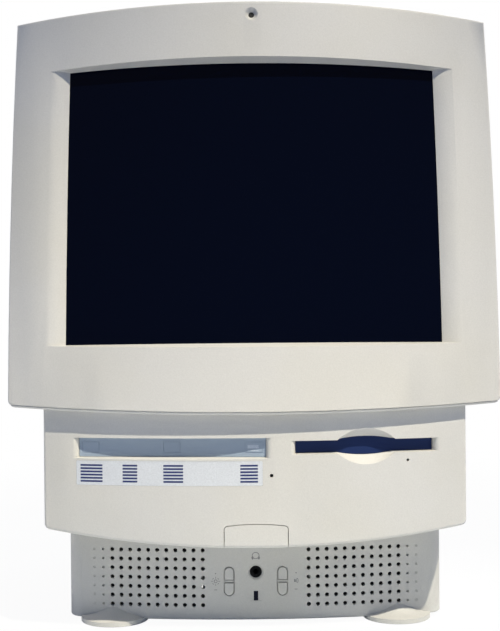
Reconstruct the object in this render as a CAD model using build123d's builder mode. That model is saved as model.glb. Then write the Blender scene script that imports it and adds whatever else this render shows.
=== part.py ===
"""All-in-one vintage home computer: display bezel and housing over a drive section and a speaker plinth.

Millimetres, +Z up, front towards -Y, origin at the bottom centre of the whole object.
"""

import os
from math import asin, cos, degrees, radians, sin, sqrt

from build123d import *

# ---------------------------------------------------------------- overall
WIDTH = 345.0
HEIGHT = 454.7
DEPTH = 419.0
WALL = 3.0
SEAM = 0.3
SLIP = 0.25
FRONT = -DEPTH / 2
BACK = DEPTH / 2

# ---------------------------------------------------------------- display unit
LEAN = 7.0
BEZEL_Z = 154.35
BEZEL_DEPTH = 60.0
FACE_R = 540.0
LOWER_EDGE_RISE = 4.7
LOWER_CORNER = 5.5
TOP_HALF_WIDTH = 167.9
BOW_Z = 216.0
BOW = 0.3
EDGE_ROUND = 2.0
ROOF_R = 965.0
ROOF_CROSS_R = 1040.0
ROOF_APEX_Y = -20.0
SHOULDER_R = 150.0
TAPER_START = -100.0
REAR_HALF_WIDTH = 120.0
REAR_CORNER = 24.0
RIM_GROOVE = 0.7
RIM_HEIGHT = 1.5

# ---------------------------------------------------------------- picture tube
GLASS_W = 263.2
GLASS_WIDEST_V = 63.0
GLASS_SIDE_R = 9140.0
GLASS_BOTTOM = 50.0
GLASS_BOTTOM_RISE = 0.057
GLASS_TOP = 248.3
GLASS_TOP_FALL = 0.157
GLASS_DEPTH = 9.8
GLASS_R = 620.0
CREASE_BOTTOM = 46.2
CREASE_BOTTOM_RISE = 0.19
CREASE_TOP = 250.4
CREASE_TOP_FALL = 0.215
ROLL_W = 13.5
WINDOW_LIP = 0.8
WINDOW_AHEAD = 15.0
RING = 16.0
RING_DEPTH = 32.0
TUBE_W = 276.0
TUBE_H = 214.0
TUBE_CORNER = 18.0
FACE_GLASS = 9.0
BELL_GLASS = 5.0
SKIRT_STEP = 5.0
SKIRT_DEPTH = 62.0
BELL_DEPTH = 115.0
THROAT_DEPTH = 168.0
NECK_START = 188.0
NECK_END = 318.0
THROAT_R = 32.0
NECK_R = 14.6
BAND_T = 1.2
BAND_W = 22.0
EAR = 26.0
EAR_T = 2.0
EAR_OUT = 11.0
COIL_R = 4.5
YOKE_LENGTH = 60.0
YOKE_R = 47.0
MIC_R = 1.3
MIC_SINK_R = 4.6
MIC_DROP = 21.4
MIC_BOOT_R = 5.0
MIC_BOOT_L = 7.0

# ---------------------------------------------------------------- drive section
FASCIA_SETBACK = 9.0
FASCIA_R = 548.0
FASCIA_HALF = 147.8
FASCIA_BOTTOM = 62.3
FASCIA_RISE = 11.4
FASCIA_BACK = -110.0
FASCIA_CORNER = 4.5
LIP_ROUND = 2.5
CASE_BACK = 200.0
CASE_REAR_HALF = 122.0
SLOT_Z = 131.1
DOOR_RECESS = 8.0
DOOR_T = 1.5
TUNNEL_T = 1.6
TUNNEL_DEPTH = 11.5
PIN_R = 0.8
PIN_LENGTH = 1.1
HINGE_DROP = 1.4
CD_X = -58.5
CD_W = 130.7
CD_H = 13.6
CD_SILL = 1.0
FLOPPY_X = 76.6
FLOPPY_W = 97.3
FLOPPY_H = 9.1
FLOPPY_SILL = 0.4
BULGE_HALF = 6.5
BULGE_R = 96.0
SCOOP_HALF = 13.1
SCOOP_R = 26.9
SCOOP_DEPTH = 7.0
SLOT_ROLL = 3.9
SLOT_AHEAD = 10.0
LABEL_X = -59.7
LABEL_W = 129.0
LABEL_CORNER = 0.8
LABEL_H = 16.8
LABEL_Z = 113.7
LABEL_T = 0.8
TAB_W = 43.4
TAB_TOP = 78.65
TAB_ARCH = 1.6
TAB_CORNER = 2.2
TAB_GAP = 0.5
CD_PIN_X = 10.9
CD_PIN_Z = 112.1
CD_PIN_R = 1.25
FLOPPY_PIN_X = 105.6
FLOPPY_PIN_Z = 120.75
FLOPPY_PIN_R = 0.95
DOOR_FRAME_W = 12.0
DOOR_FRAME_H = 7.6
DOOR_FRAME_LINE = 0.4
DOOR_FRAME_PITCH = 57.0

# ---------------------------------------------------------------- speaker plinth
PLINTH_SETBACK = 55.0
PLINTH_R = 577.0
PLINTH_HALF = 136.5
PLINTH_Z = 2.0
PLINTH_TOP = 84.0
PLINTH_CORNER = 13.0
HOLE_PITCH = 6.6
HOLE_INNER_X = 38.2
HOLE_TOP_Z = 52.2
HOLE_R = 1.5
DIMPLE_R = 0.95
DIMPLE_DEPTH = 1.2
OPEN_COLUMNS = 11
BLIND_COLUMNS = 2
HOLE_ROWS = 7
PLINTH_EDGE = 1.2
TOE_X = 103.0
TOE_Y = -139.7
TOE_R = 24.5
TOE_EDGE = 0.4
TOE_STEP = 3.2
TOE_NECK = 6.0
TOE_H = 10.0
BUTTON_X = 19.3
BUTTON_Z = 29.85
BUTTON_W = 6.6
BUTTON_H = 8.85
BUTTON_BAR = 1.4
BUTTON_GAP = 0.48
BUTTON_RIM = 0.45
BUTTON_RIM_DEPTH = 0.3
BUTTON_FLANGE = 1.0
BUTTON_PROUD = 0.7
BUTTON_TRAVEL = 1.0
JACK_Z = 36.5
JACK_R = 4.3
JACK_BORE = 1.8
JACK_DEPTH = 14.0
JACK_SINK = 1.0
JACK_SINK_R = 5.7
JACK_SINK_ANGLE = 94.0
LAMP_W = 3.1
LAMP_H = 6.85
LAMP_Z = 19.35
LAMP_SINK = 0.3
LEDGE_W = 8.1
LEDGE_H = 0.6
LEDGE_PROUD = 0.5
BOARD_T = 1.6
BUTTON_BOARD_SETBACK = 16.0
SWITCH_T = 4.3

# ---------------------------------------------------------------- base
PAN_Z = 4.0
PAN_TOP = 66.0
PAN_BACK = 190.0
PAN_REAR_HALF = 120.0
FOOT_R = 11.0
FOOT_X = 95.0
FOOT_Y = 155.0
TRAY_X = -20.0
TRAY_W = 180.0
TRAY_H = 42.0
TRAY_T = 1.5
TRAY_LENGTH = 192.0
STANDOFF = 5.0
DOOR_PLATE_T = 2.5
LOGIC_W = 168.0
LOGIC_L = 180.0
PORT_H = 12.5
PORT_W = 14.0
PORT_L = 16.0
WIDE_PORT_W = 48.0
JACK_PITCH = 15.0
SPEAKER_X = 77.8
SPEAKER_Z = 32.4
SPEAKER_W = 78.0
SPEAKER_H = 46.0
SPEAKER_T = 1.8
BASKET_D = 17.0
MAGNET_R = 16.0
MAGNET_T = 11.0
MESH_T = 0.4

# ---------------------------------------------------------------- drives and power
DRIVE_FACE = -162.0
CD_DRIVE_W = 146.0
CD_DRIVE_H = 41.3
CD_DRIVE_L = 200.0
CADDY_W = 126.0
CADDY_H = 9.0
CADDY_L = 150.0
FLOPPY_DRIVE_W = 101.6
FLOPPY_DRIVE_H = 25.4
FLOPPY_DRIVE_L = 150.0
DISK_W = 91.0
DISK_H = 5.0
DISK_L = 100.0
SPINDLE_R = 2.0
TURNTABLE_R = 15.0
TURNTABLE_T = 2.5
HUB_R = 12.0
HUB_T = 2.4
RUN_FIT = 0.05
CAGE_T = 1.5
HDD_W = 101.6
HDD_H = 25.4
HDD_L = 146.0
HDD_X = -62.0
HDD_Y = 40.0
PSU_X = 57.0
PSU_W = 98.0
PSU_H = 80.0
PSU_L = 128.0
INLET_X = 84.0
INLET_Z = 112.0
INLET_W = 27.4
INLET_H = 19.8
ROCKER_X = 44.0
ROCKER_W = 12.0
ROCKER_H = 18.0
ROCKER_TILT = 10.0
ROCKER_ARM = 5.0
ROCKER_PIN_R = 1.5
FLANGE_T = 1.5
FAN = 80.0
FAN_T = 25.0
FAN_X = -45.0
FAN_Z = 222.0
FAN_HUB_R = 18.0
FAN_BLADES = 7
DECK_T = 1.5
DECK_HALF = 124.0
DECK_FRONT = -144.0
DECK_BACK = 165.0
CABLE_HOLE_W = 110.0
CABLE_HOLE_L = 70.0
FLOOR_HOLE_W = 210.0
FLOOR_HOLE_L = 190.0
VENT_W = 3.2
VENT_PITCH = 9.0
ROOF_VENTS = 11
ROOF_VENT_L = 84.0
ROOF_VENT_Y = 75.0
SIDE_VENTS = 12
SIDE_VENT_L = 52.0
SIDE_VENT_Y = 95.0
SIDE_VENT_Z = 216.0
FAN_VENTS = 8
FAN_VENT_L = 66.0
ANALOG_X = -116.0
ANALOG_L = 160.0
ANALOG_H = 150.0
ANALOG_Y = 20.0
SCREW_R = 1.5
SCREW_HEAD_R = 3.4
SCREW_HEAD_T = 2.0

# ---------------------------------------------------------------- derived
HALF = WIDTH / 2
LEAN_SIN = sin(radians(LEAN))
LEAN_COS = cos(radians(LEAN))
OUT = (0, -LEAN_COS, LEAN_SIN)
UP = (0, LEAN_SIN, LEAN_COS)
FACE = Plane(origin=(0, FRONT, BEZEL_Z), x_dir=(1, 0, 0), z_dir=OUT)
LEANING_PLAN = Plane(origin=(0, FRONT, BEZEL_Z), x_dir=(1, 0, 0), z_dir=UP)
MIC_V = (HEIGHT - MIC_DROP - BEZEL_Z) / LEAN_COS
GLASS_MID = (GLASS_BOTTOM + GLASS_TOP) / 2
GLASS_H = GLASS_TOP - GLASS_BOTTOM
TUBE_ORIGIN = FACE.from_local_coords((0, GLASS_MID, 0))
TUBE = Plane(origin=TUBE_ORIGIN, x_dir=(1, 0, 0), z_dir=OUT)
FASCIA_Y = FRONT + FASCIA_SETBACK
PLINTH_Y = FRONT + PLINTH_SETBACK
LOWER_EDGE_R = HALF**2 / (2 * LOWER_EDGE_RISE)
SMILE_R = (FASCIA_HALF**2 + FASCIA_RISE**2) / (2 * FASCIA_RISE)
BIG = 600.0


def sagitta(radius, x):
    """Depth of a convex front of this radius behind its middle, at distance x."""
    return radius - sqrt(radius**2 - x**2)


def save(piece, name):
    """Label one finished piece and write it as its own file."""
    piece.label = name
    export_step(piece, f"parts/{name}.step")


# ================================================================ outer forms
def lower_edge_z(x):
    """Height of the display unit's lower edge, which rises to the sides."""
    return BEZEL_Z + sagitta(LOWER_EDGE_R, x)


def bowed_plan(half, front_r, depth, inset):
    """Plan outline: bowed front, straight sides, square back; y is 0 at the front."""
    side = half - inset
    edge_y = front_r - sqrt((front_r - inset) ** 2 - side**2)
    with BuildSketch() as plan:
        with BuildLine():
            ThreePointArc((-side, edge_y), (0, inset), (side, edge_y))
            Polyline((side, edge_y), (side, depth), (-side, depth), (-side, edge_y))
        make_face()
    return plan.sketch


def tapered_plan(half, rear_half, taper_from, back, corner, front, inset):
    """Plan outline that narrows to the rear along two large arcs and has round rear corners."""
    run = back - taper_from
    drop = half - rear_half
    radius = (drop**2 + run**2) / (2 * drop)
    rear_y = back - inset
    reach = rear_y - taper_from
    rear_x = half - radius + sqrt((radius - inset) ** 2 - reach**2)
    mid_x = half - radius + sqrt((radius - inset) ** 2 - (reach / 2) ** 2)
    mid_y = taper_from + reach / 2
    side = half - inset
    with BuildSketch() as plan:
        with BuildLine():
            Polyline((-side, taper_from), (-side, front), (side, front), (side, taper_from))
            ThreePointArc((side, taper_from), (mid_x, mid_y), (rear_x, rear_y))
            Line((rear_x, rear_y), (-rear_x, rear_y))
            ThreePointArc((-rear_x, rear_y), (-mid_x, mid_y), (-side, taper_from))
        make_face()
        fillet([v for v in plan.vertices() if v.Y > rear_y - 1], corner - inset)
    return plan.sketch


def roof_profile(inset):
    """Side view of the display unit: one long roof arc, a round shoulder and an upright back."""
    roof_z = HEIGHT - ROOF_R
    roof_r = ROOF_R - inset
    shoulder_y = BACK - SHOULDER_R
    rise = sqrt((ROOF_R - SHOULDER_R) ** 2 - (shoulder_y - ROOF_APEX_Y) ** 2)
    shoulder_z = roof_z + rise
    shoulder_r = SHOULDER_R - inset
    join_y = ROOF_APEX_Y + roof_r * (shoulder_y - ROOF_APEX_Y) / (ROOF_R - SHOULDER_R)
    join_z = roof_z + roof_r * rise / (ROOF_R - SHOULDER_R)
    start_y = FRONT - 40
    start_z = roof_z + sqrt(roof_r**2 - (start_y - ROOF_APEX_Y) ** 2)
    low_z = BEZEL_Z - 60
    turn = sin(radians(45)) * shoulder_r
    rear_y = BACK - inset
    with BuildSketch() as view:
        with BuildLine():
            ThreePointArc((start_y, start_z), (ROOF_APEX_Y, HEIGHT - inset), (join_y, join_z))
            middle = (shoulder_y + turn, shoulder_z + turn)
            ThreePointArc((join_y, join_z), middle, (rear_y, shoulder_z))
            Polyline((rear_y, shoulder_z), (rear_y, low_z), (start_y, low_z), (start_y, start_z))
        make_face()
    return view.sketch


def front_outline(inset):
    """Front view of the display unit below its roof: bowed sides over a slightly curved lower edge."""
    bottom_r = LOWER_EDGE_R - inset
    side = HALF - inset
    bottom_z = BEZEL_Z + LOWER_EDGE_R - sqrt(bottom_r**2 - side**2)
    bow_x = HALF + BOW - inset
    top_x = TOP_HALF_WIDTH - inset
    with BuildSketch() as view:
        with BuildLine():
            ThreePointArc((-side, bottom_z), (0, BEZEL_Z + inset), (side, bottom_z))
            ThreePointArc((side, bottom_z), (bow_x, BOW_Z), (top_x, HEIGHT))
            Polyline((top_x, HEIGHT), (top_x, HEIGHT + 20), (-top_x, HEIGHT + 20), (-top_x, HEIGHT))
            ThreePointArc((-top_x, HEIGHT), (-bow_x, BOW_Z), (-side, bottom_z))
        make_face()
        fillet([v for v in view.vertices() if v.Y < bottom_z + 1], LOWER_CORNER - inset)
    return view.sketch


def housing_form(inset):
    """Solid form of the whole display unit, drawn in by an inset on every side."""
    low_r = ROOF_CROSS_R - HEIGHT + BEZEL_Z - 60
    spread = degrees(asin(HALF / low_r)) + 1
    tilt = radians(spread)
    crown_z = HEIGHT - ROOF_CROSS_R
    roof_plane = Plane(origin=(0, 0, crown_z), x_dir=(0, 1, 0), z_dir=(cos(tilt), 0, sin(tilt)))
    with BuildPart() as form:
        with BuildSketch(LEANING_PLAN.offset(-80)):
            add(bowed_plan(HALF + BOW, FACE_R, DEPTH * 1.5, inset))
        extrude(amount=HEIGHT)
        with BuildSketch(Plane.XY.offset(BEZEL_Z - 70)):
            add(
                tapered_plan(
                    HALF + BOW, REAR_HALF_WIDTH, TAPER_START, BACK, REAR_CORNER, FRONT - 60, inset
                )
            )
        extrude(amount=HEIGHT, mode=Mode.INTERSECT)
        with BuildSketch(Plane.XZ.offset(-BACK - 50)):
            add(front_outline(inset))
        extrude(amount=DEPTH + 120, mode=Mode.INTERSECT)
        with BuildSketch(roof_plane):
            add(Pos(0, -crown_z) * roof_profile(inset))
        revolve(
            axis=Axis((0, 0, crown_z), (0, 1, 0)), revolution_arc=2 * spread, mode=Mode.INTERSECT
        )
        if inset == 0:
            face_edges = form.faces().filter_by(GeomType.CYLINDER).sort_by(Axis.Y)[0].edges()
            fillet(face_edges, EDGE_ROUND)
    return form.part


def fascia_form(inset):
    """Solid form of the drive fascia: bowed front over a smiling lower edge."""
    low = FASCIA_HALF - inset
    smile_z = FASCIA_BOTTOM + SMILE_R
    low_z = smile_z - sqrt((SMILE_R - inset) ** 2 - low**2)
    top_r = LOWER_EDGE_R + SEAM
    top_z = BEZEL_Z + LOWER_EDGE_R - sqrt(top_r**2 - low**2)
    with BuildPart() as form:
        with BuildSketch(Plane.XY):
            with Locations((0, FASCIA_Y)):
                add(bowed_plan(FASCIA_HALF, FASCIA_R, FASCIA_BACK - FASCIA_Y, inset))
        extrude(amount=HEIGHT / 2)
        with BuildSketch(Plane.XZ.offset(-BACK)) as view:
            with BuildLine():
                ThreePointArc((-low, low_z), (0, FASCIA_BOTTOM + inset), (low, low_z))
                Line((low, low_z), (low, top_z))
                ThreePointArc((low, top_z), (0, BEZEL_Z - SEAM), (-low, top_z))
                Line((-low, top_z), (-low, low_z))
            make_face()
            corners = [v for v in view.sketch_local.vertices() if v.Y < low_z + 1]
            fillet(corners, FASCIA_CORNER - inset)
        extrude(amount=BIG, mode=Mode.INTERSECT)
        if inset == 0:
            front = form.faces().filter_by(GeomType.CYLINDER).sort_by(Axis.Y)[0]
            lower = [e for e in front.edges() if e.center().Z < low_z + FASCIA_CORNER]
            fillet(lower, LIP_ROUND)
    return form.part


# ================================================================ display unit
def window_plan(v):
    """Plan section of the window at a height on the face: its side walls roll out to the face."""
    glass_x = GLASS_W / 2 - sagitta(GLASS_SIDE_R, v - GLASS_WIDEST_V)
    crease_x = glass_x + ROLL_W
    crease_y = sagitta(FACE_R, crease_x)
    wall_y = GLASS_DEPTH + sagitta(GLASS_R, glass_x) - WINDOW_LIP
    back_y = GLASS_DEPTH + RING_DEPTH * 2
    front_y = -WINDOW_AHEAD
    with BuildSketch(LEANING_PLAN.offset(v)) as plan:
        with BuildLine():
            Polyline(
                (crease_x, crease_y), (crease_x, front_y), (-crease_x, front_y), (-crease_x, crease_y)
            )
            TangentArc((-crease_x, crease_y), (-glass_x, wall_y), tangent=(1, 0))
            Polyline((-glass_x, wall_y), (-glass_x, back_y), (glass_x, back_y), (glass_x, wall_y))
            TangentArc((crease_x, crease_y), (glass_x, wall_y), tangent=(-1, 0))
        make_face()
    return plan.sketch


def window_side(x):
    """Side section of the window at a distance from the middle: sloping top wall and sloping sill."""
    glass_d = GLASS_DEPTH + sagitta(GLASS_R, x)
    crease_d = sagitta(FACE_R, x)
    low = GLASS_BOTTOM + GLASS_BOTTOM_RISE * sagitta(GLASS_R, x)
    high = GLASS_TOP - GLASS_TOP_FALL * sagitta(GLASS_R, x)
    low_crease = CREASE_BOTTOM + CREASE_BOTTOM_RISE * crease_d
    high_crease = CREASE_TOP - CREASE_TOP_FALL * crease_d
    stretch = (glass_d - crease_d + WINDOW_AHEAD) / (glass_d - crease_d)
    front_d = crease_d - WINDOW_AHEAD
    back_d = GLASS_DEPTH + RING_DEPTH * 2
    side_plane = Plane(origin=FACE.origin, x_dir=OUT, z_dir=(-1, 0, 0))
    with BuildSketch(side_plane.offset(-x)) as section:
        with BuildLine():
            Polyline(
                (-back_d, low),
                (-glass_d, low),
                (-front_d, low + (low_crease - low) * stretch),
                (-front_d, high + (high_crease - high) * stretch),
                (-glass_d, high),
                (-back_d, high),
                close=True,
            )
        make_face()
    return section.sketch


def window_tool():
    """Space cut for the picture: rolled side walls, sloping top wall and sloping sill."""
    reach = GLASS_W / 2 + ROLL_W
    with BuildPart() as across:
        for share in (-1, -0.5, 0, 0.5, 1):
            add(window_side(reach * share))
        loft()
    with BuildPart() as tool:
        for v in (GLASS_BOTTOM - RING, GLASS_MID, GLASS_TOP + RING):
            add(window_plan(v))
        loft()
        add(across.part, mode=Mode.INTERSECT)
    return tool.part


def tube_face_form(outset):
    """Picture tube's faceplate and skirt, with a cylindrical front; outset leaves room around it."""
    depth = SKIRT_DEPTH + outset
    with BuildPart() as form:
        with BuildSketch(TUBE):
            RectangleRounded(TUBE_W + 2 * outset, TUBE_H + 2 * outset, TUBE_CORNER + outset)
        extrude(amount=-depth)
        with BuildSketch(LEANING_PLAN):
            with Locations((0, GLASS_DEPTH + GLASS_R)):
                Circle(GLASS_R + outset)
        extrude(amount=BIG, mode=Mode.INTERSECT)
    return form.part


def display_shell():
    """Hollow wall of the whole display unit before it is parted into bezel and rear housing."""
    with BuildPart() as shell:
        add(housing_form(0))
        add(housing_form(WALL), mode=Mode.SUBTRACT)
    return shell.part


def groove_band():
    """Shallow shadow groove that runs just above the bezel's lower edge."""
    with BuildPart() as band:
        add(housing_form(0))
        add(housing_form(RIM_GROOVE), mode=Mode.SUBTRACT)
        with BuildSketch(Plane.XZ.offset(-BACK)) as view:
            with BuildLine():
                low_z = BEZEL_Z + RIM_HEIGHT
                side_z = low_z + LOWER_EDGE_RISE
                high_z = low_z + RIM_GROOVE
                ThreePointArc((-HALF - 5, side_z), (0, low_z), (HALF + 5, side_z))
                Line((HALF + 5, side_z), (HALF + 5, side_z + RIM_GROOVE))
                ThreePointArc(
                    (HALF + 5, side_z + RIM_GROOVE), (0, high_z), (-HALF - 5, side_z + RIM_GROOVE)
                )
                Line((-HALF - 5, side_z + RIM_GROOVE), (-HALF - 5, side_z))
            make_face()
        extrude(amount=BIG, mode=Mode.INTERSECT)
    return band.part


def tube_screw_points():
    """Ear centres on the tube's band, in the tube plane's own axes."""
    x = TUBE_W / 2 + BAND_T - EAR / 2 + EAR_OUT
    y = TUBE_H / 2 + BAND_T - EAR / 2 + EAR_OUT
    return [(x, y), (-x, y), (x, -y), (-x, -y)]


def make_bezel(shell):
    """Display bezel with its window ring, tube seat, screw pilots and microphone hole."""
    with BuildPart() as ring:
        with BuildSketch(TUBE.offset(10)):
            Rectangle(GLASS_W + 4 * RING, GLASS_H + 2 * RING)
        extrude(amount=-RING_DEPTH - 10)
        add(housing_form(0), mode=Mode.INTERSECT)
        add(tube_face_form(SLIP), mode=Mode.SUBTRACT)
    with BuildPart() as bezel:
        add(shell)
        split(bisect_by=FACE.offset(-BEZEL_DEPTH), keep=Keep.TOP)
        add(ring.part)
        add(window_tool(), mode=Mode.SUBTRACT)
        add(groove_band(), mode=Mode.SUBTRACT)
        with Locations(FACE * Pos(0, MIC_V, 0)):
            CounterSinkHole(radius=MIC_R, counter_sink_radius=MIC_SINK_R, depth=WALL * 3)
        with BuildSketch(TUBE.offset(-RING_DEPTH)):
            with Locations(*tube_screw_points()):
                Circle(SCREW_R + RUN_FIT)
        extrude(amount=12, mode=Mode.SUBTRACT)
    return bezel.part


def make_rear_housing(shell):
    """Rear housing with vents in its roof, sides and back, and an open floor over the drive section."""
    with BuildPart() as housing:
        add(shell)
        split(bisect_by=FACE.offset(-BEZEL_DEPTH - SEAM), keep=Keep.BOTTOM)
        with BuildSketch(Plane.XY.offset(BEZEL_Z - WALL)):
            RectangleRounded(FLOOR_HOLE_W, FLOOR_HOLE_L, VENT_PITCH)
        extrude(amount=WALL * 4, mode=Mode.SUBTRACT)
        with BuildSketch(Plane.XY.offset(HEIGHT - 80)):
            with Locations((0, ROOF_VENT_Y)):
                with GridLocations(ROOF_VENT_L + VENT_PITCH * 2, VENT_PITCH, 2, ROOF_VENTS):
                    SlotOverall(ROOF_VENT_L, VENT_W)
        extrude(amount=100, mode=Mode.SUBTRACT)
        with BuildSketch(Plane.YZ):
            with Locations((SIDE_VENT_Y, SIDE_VENT_Z)):
                with GridLocations(VENT_PITCH, 1, SIDE_VENTS, 1):
                    SlotOverall(SIDE_VENT_L, VENT_W, rotation=90)
        extrude(amount=HALF + 10, both=True, mode=Mode.SUBTRACT)
        with BuildSketch(Plane.XZ.offset(-BACK - WALL)):
            with Locations((FAN_X, FAN_Z)):
                with GridLocations(1, VENT_PITCH, 1, FAN_VENTS):
                    SlotOverall(FAN_VENT_L, VENT_W)
            with Locations(*housing_screw_points()):
                Circle(SCREW_R + RUN_FIT)
        extrude(amount=WALL * 3, mode=Mode.SUBTRACT)
        with BuildSketch(Plane.XZ.offset(-BACK - WALL)):
            with Locations(*housing_screw_points()):
                Circle(SCREW_HEAD_R + SLIP)
        extrude(amount=WALL + SCREW_HEAD_T, mode=Mode.SUBTRACT)
    return housing.part


def housing_screw_points():
    """Screws in the back of the housing, as x and z."""
    x = REAR_HALF_WIDTH - REAR_CORNER - 2 * SCREW_HEAD_R
    low = BEZEL_Z + 18
    high = low + 130
    return [(x, low), (-x, low), (x, high), (-x, high)]


def tube_section(width, height, corner, depth):
    """Rounded rectangle across the tube's axis at a depth behind the bezel's face."""
    with BuildSketch(TUBE.offset(-depth)) as section:
        RectangleRounded(width, height, corner)
    return section.sketch


def tube_bell(thin):
    """Bell and throat of the tube behind its skirt; thin leaves out that much glass all round."""
    bell_w = TUBE_W * 0.68 - 2 * thin
    bell_h = TUBE_H * 0.7 - 2 * thin
    throat = 2 * (THROAT_R - thin)
    corner = TUBE_CORNER - thin
    with BuildPart() as bell:
        add(tube_section(TUBE_W - SKIRT_STEP - 2 * thin, TUBE_H - SKIRT_STEP - 2 * thin, corner, SKIRT_DEPTH))
        add(tube_section(bell_w, bell_h, THROAT_R - thin, BELL_DEPTH))
        add(tube_section(throat, throat, THROAT_R - thin - 0.5, THROAT_DEPTH))
        loft()
    return bell.part


def make_tube():
    """Glass picture tube: hollow faceplate with skirt, bell and throat, and a closed neck."""
    with BuildPart() as tube:
        add(tube_face_form(0))
        add(tube_bell(0))
        with BuildSketch(TUBE.offset(-THROAT_DEPTH)):
            Circle(THROAT_R - 1)
        with BuildSketch(TUBE.offset(-NECK_START)):
            Circle(NECK_R)
        loft()
        with BuildSketch(TUBE.offset(-NECK_START)):
            Circle(NECK_R)
        extrude(amount=NECK_START - NECK_END)
        add(tube_face_form(-FACE_GLASS), mode=Mode.SUBTRACT)
        with BuildSketch(TUBE.offset(-SKIRT_DEPTH + FACE_GLASS + 1)):
            RectangleRounded(TUBE_W - 3 * FACE_GLASS, TUBE_H - 3 * FACE_GLASS, TUBE_CORNER - FACE_GLASS)
        extrude(amount=-FACE_GLASS - 1, mode=Mode.SUBTRACT)
        add(tube_bell(BELL_GLASS), mode=Mode.SUBTRACT)
    return tube.part


def make_tube_band():
    """Steel tension band around the tube's skirt, with four screw ears at its corners."""
    inner = TUBE_W / 2 + RUN_FIT, TUBE_H / 2 + RUN_FIT
    with BuildPart() as band:
        with BuildSketch(TUBE.offset(-RING_DEPTH)):
            RectangleRounded(2 * (inner[0] + BAND_T), 2 * (inner[1] + BAND_T), TUBE_CORNER + BAND_T)
        extrude(amount=-BAND_W)
        with BuildSketch(TUBE.offset(-RING_DEPTH)):
            with Locations(*tube_screw_points()):
                RectangleRounded(EAR, EAR, 5)
        extrude(amount=-EAR_T)
        with BuildSketch(TUBE):
            RectangleRounded(2 * inner[0], 2 * inner[1], TUBE_CORNER + RUN_FIT)
        extrude(amount=-BIG, mode=Mode.SUBTRACT)
        with BuildSketch(TUBE):
            with Locations(*tube_screw_points()):
                Circle(SCREW_R + RUN_FIT)
        extrude(amount=-BIG, mode=Mode.SUBTRACT)
    return band.part


def screw(plane, points, shank):
    """Pan-head screws whose heads sit on a plane and whose shanks run against its normal."""
    with BuildPart() as screws:
        with BuildSketch(plane):
            with Locations(*points):
                Circle(SCREW_HEAD_R)
        extrude(amount=SCREW_HEAD_T)
        with BuildSketch(plane.offset(SCREW_HEAD_T)):
            with Locations(*points):
                Rectangle(SCREW_HEAD_R, 0.8)
                Rectangle(0.8, SCREW_HEAD_R)
        extrude(amount=-1, mode=Mode.SUBTRACT)
        with BuildSketch(plane):
            with Locations(*points):
                Circle(SCREW_R)
        extrude(amount=-shank)
    return screws.part


def make_tube_screws():
    """Four screws through the band's ears into the bezel's ring."""
    back = TUBE.offset(-RING_DEPTH - EAR_T)
    outward = Plane(origin=back.origin, x_dir=(-1, 0, 0), z_dir=back.z_dir * -1)
    return screw(outward, tube_screw_points(), 10)


def make_yoke():
    """Deflection yoke: windings around the tube's throat and neck."""
    axis_plane = Plane(origin=TUBE_ORIGIN, x_dir=OUT, z_dir=(-1, 0, 0))
    front = THROAT_DEPTH + 9
    back = front + YOKE_LENGTH
    bore = NECK_R + RUN_FIT * 4
    with BuildPart() as yoke:
        with BuildSketch(axis_plane):
            with BuildLine():
                Polyline(
                    (-front, THROAT_R * 0.82),
                    (-front, YOKE_R),
                    (-front - 8, YOKE_R),
                    (-front - 12, YOKE_R - 6),
                    (-back + 8, YOKE_R - 13),
                    (-back + 4, YOKE_R - 10),
                    (-back, YOKE_R - 10),
                    (-back, bore),
                    (-NECK_START, bore),
                    close=True,
                )
            make_face()
        revolve(axis=Axis(TUBE_ORIGIN, OUT))
    return yoke.part


def make_neck_socket():
    """Socket pushed onto the end of the tube's neck."""
    with BuildPart() as socket:
        with BuildSketch(TUBE.offset(-NECK_END)):
            Circle(NECK_R + 2)
        extrude(amount=-12)
    return socket.part


def make_neck_board():
    """Small circuit board that the neck socket is soldered to."""
    with BuildPart() as board:
        with BuildSketch(TUBE.offset(-NECK_END - 12)):
            RectangleRounded(72, 62, 3)
        extrude(amount=-BOARD_T)
        with BuildSketch(TUBE.offset(-NECK_END - 12 - BOARD_T)):
            with Locations((-22, -16), (-8, -20), (20, 14), (24, -12)):
                Circle(4.5)
        extrude(amount=-11)
    return board.part


def make_anode_cap(tube):
    """Rubber cap over the high-voltage contact on top of the tube's bell."""
    depth = (SKIRT_DEPTH + BELL_DEPTH) / 2 + 4
    cap_plane = Plane(origin=TUBE.from_local_coords((0, 0, -depth)), x_dir=(1, 0, 0), z_dir=UP)
    with BuildPart() as cap:
        with BuildSketch(cap_plane.offset(TUBE_H * 0.3)):
            Circle(12)
        extrude(amount=TUBE_H * 0.2 - 14)
        with BuildSketch(cap_plane.offset(TUBE_H * 0.3)):
            Circle(6)
        extrude(amount=TUBE_H * 0.2 - 9)
        add(tube, mode=Mode.SUBTRACT)
    return cap.part


def make_degauss_coil():
    """Taped copper loop around the tube's skirt, just behind its band."""
    plane = TUBE.offset(-RING_DEPTH - BAND_W - COIL_R - SLIP)
    grow = 2 * (COIL_R + SLIP)
    with BuildSketch(plane) as loop:
        RectangleRounded(TUBE_W + grow, TUBE_H + grow, TUBE_CORNER + grow / 2)
    path = loop.sketch.faces()[0].outer_wire()
    with BuildPart() as coil:
        with BuildSketch(Plane(origin=path @ 0, z_dir=path % 0)):
            Circle(COIL_R)
        sweep(path=path)
    return coil.part


def deck_z():
    """Height at which the flat deck rests on the housing's slightly curved floor."""
    return lower_edge_z(DECK_HALF) + WALL + RUN_FIT


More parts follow.
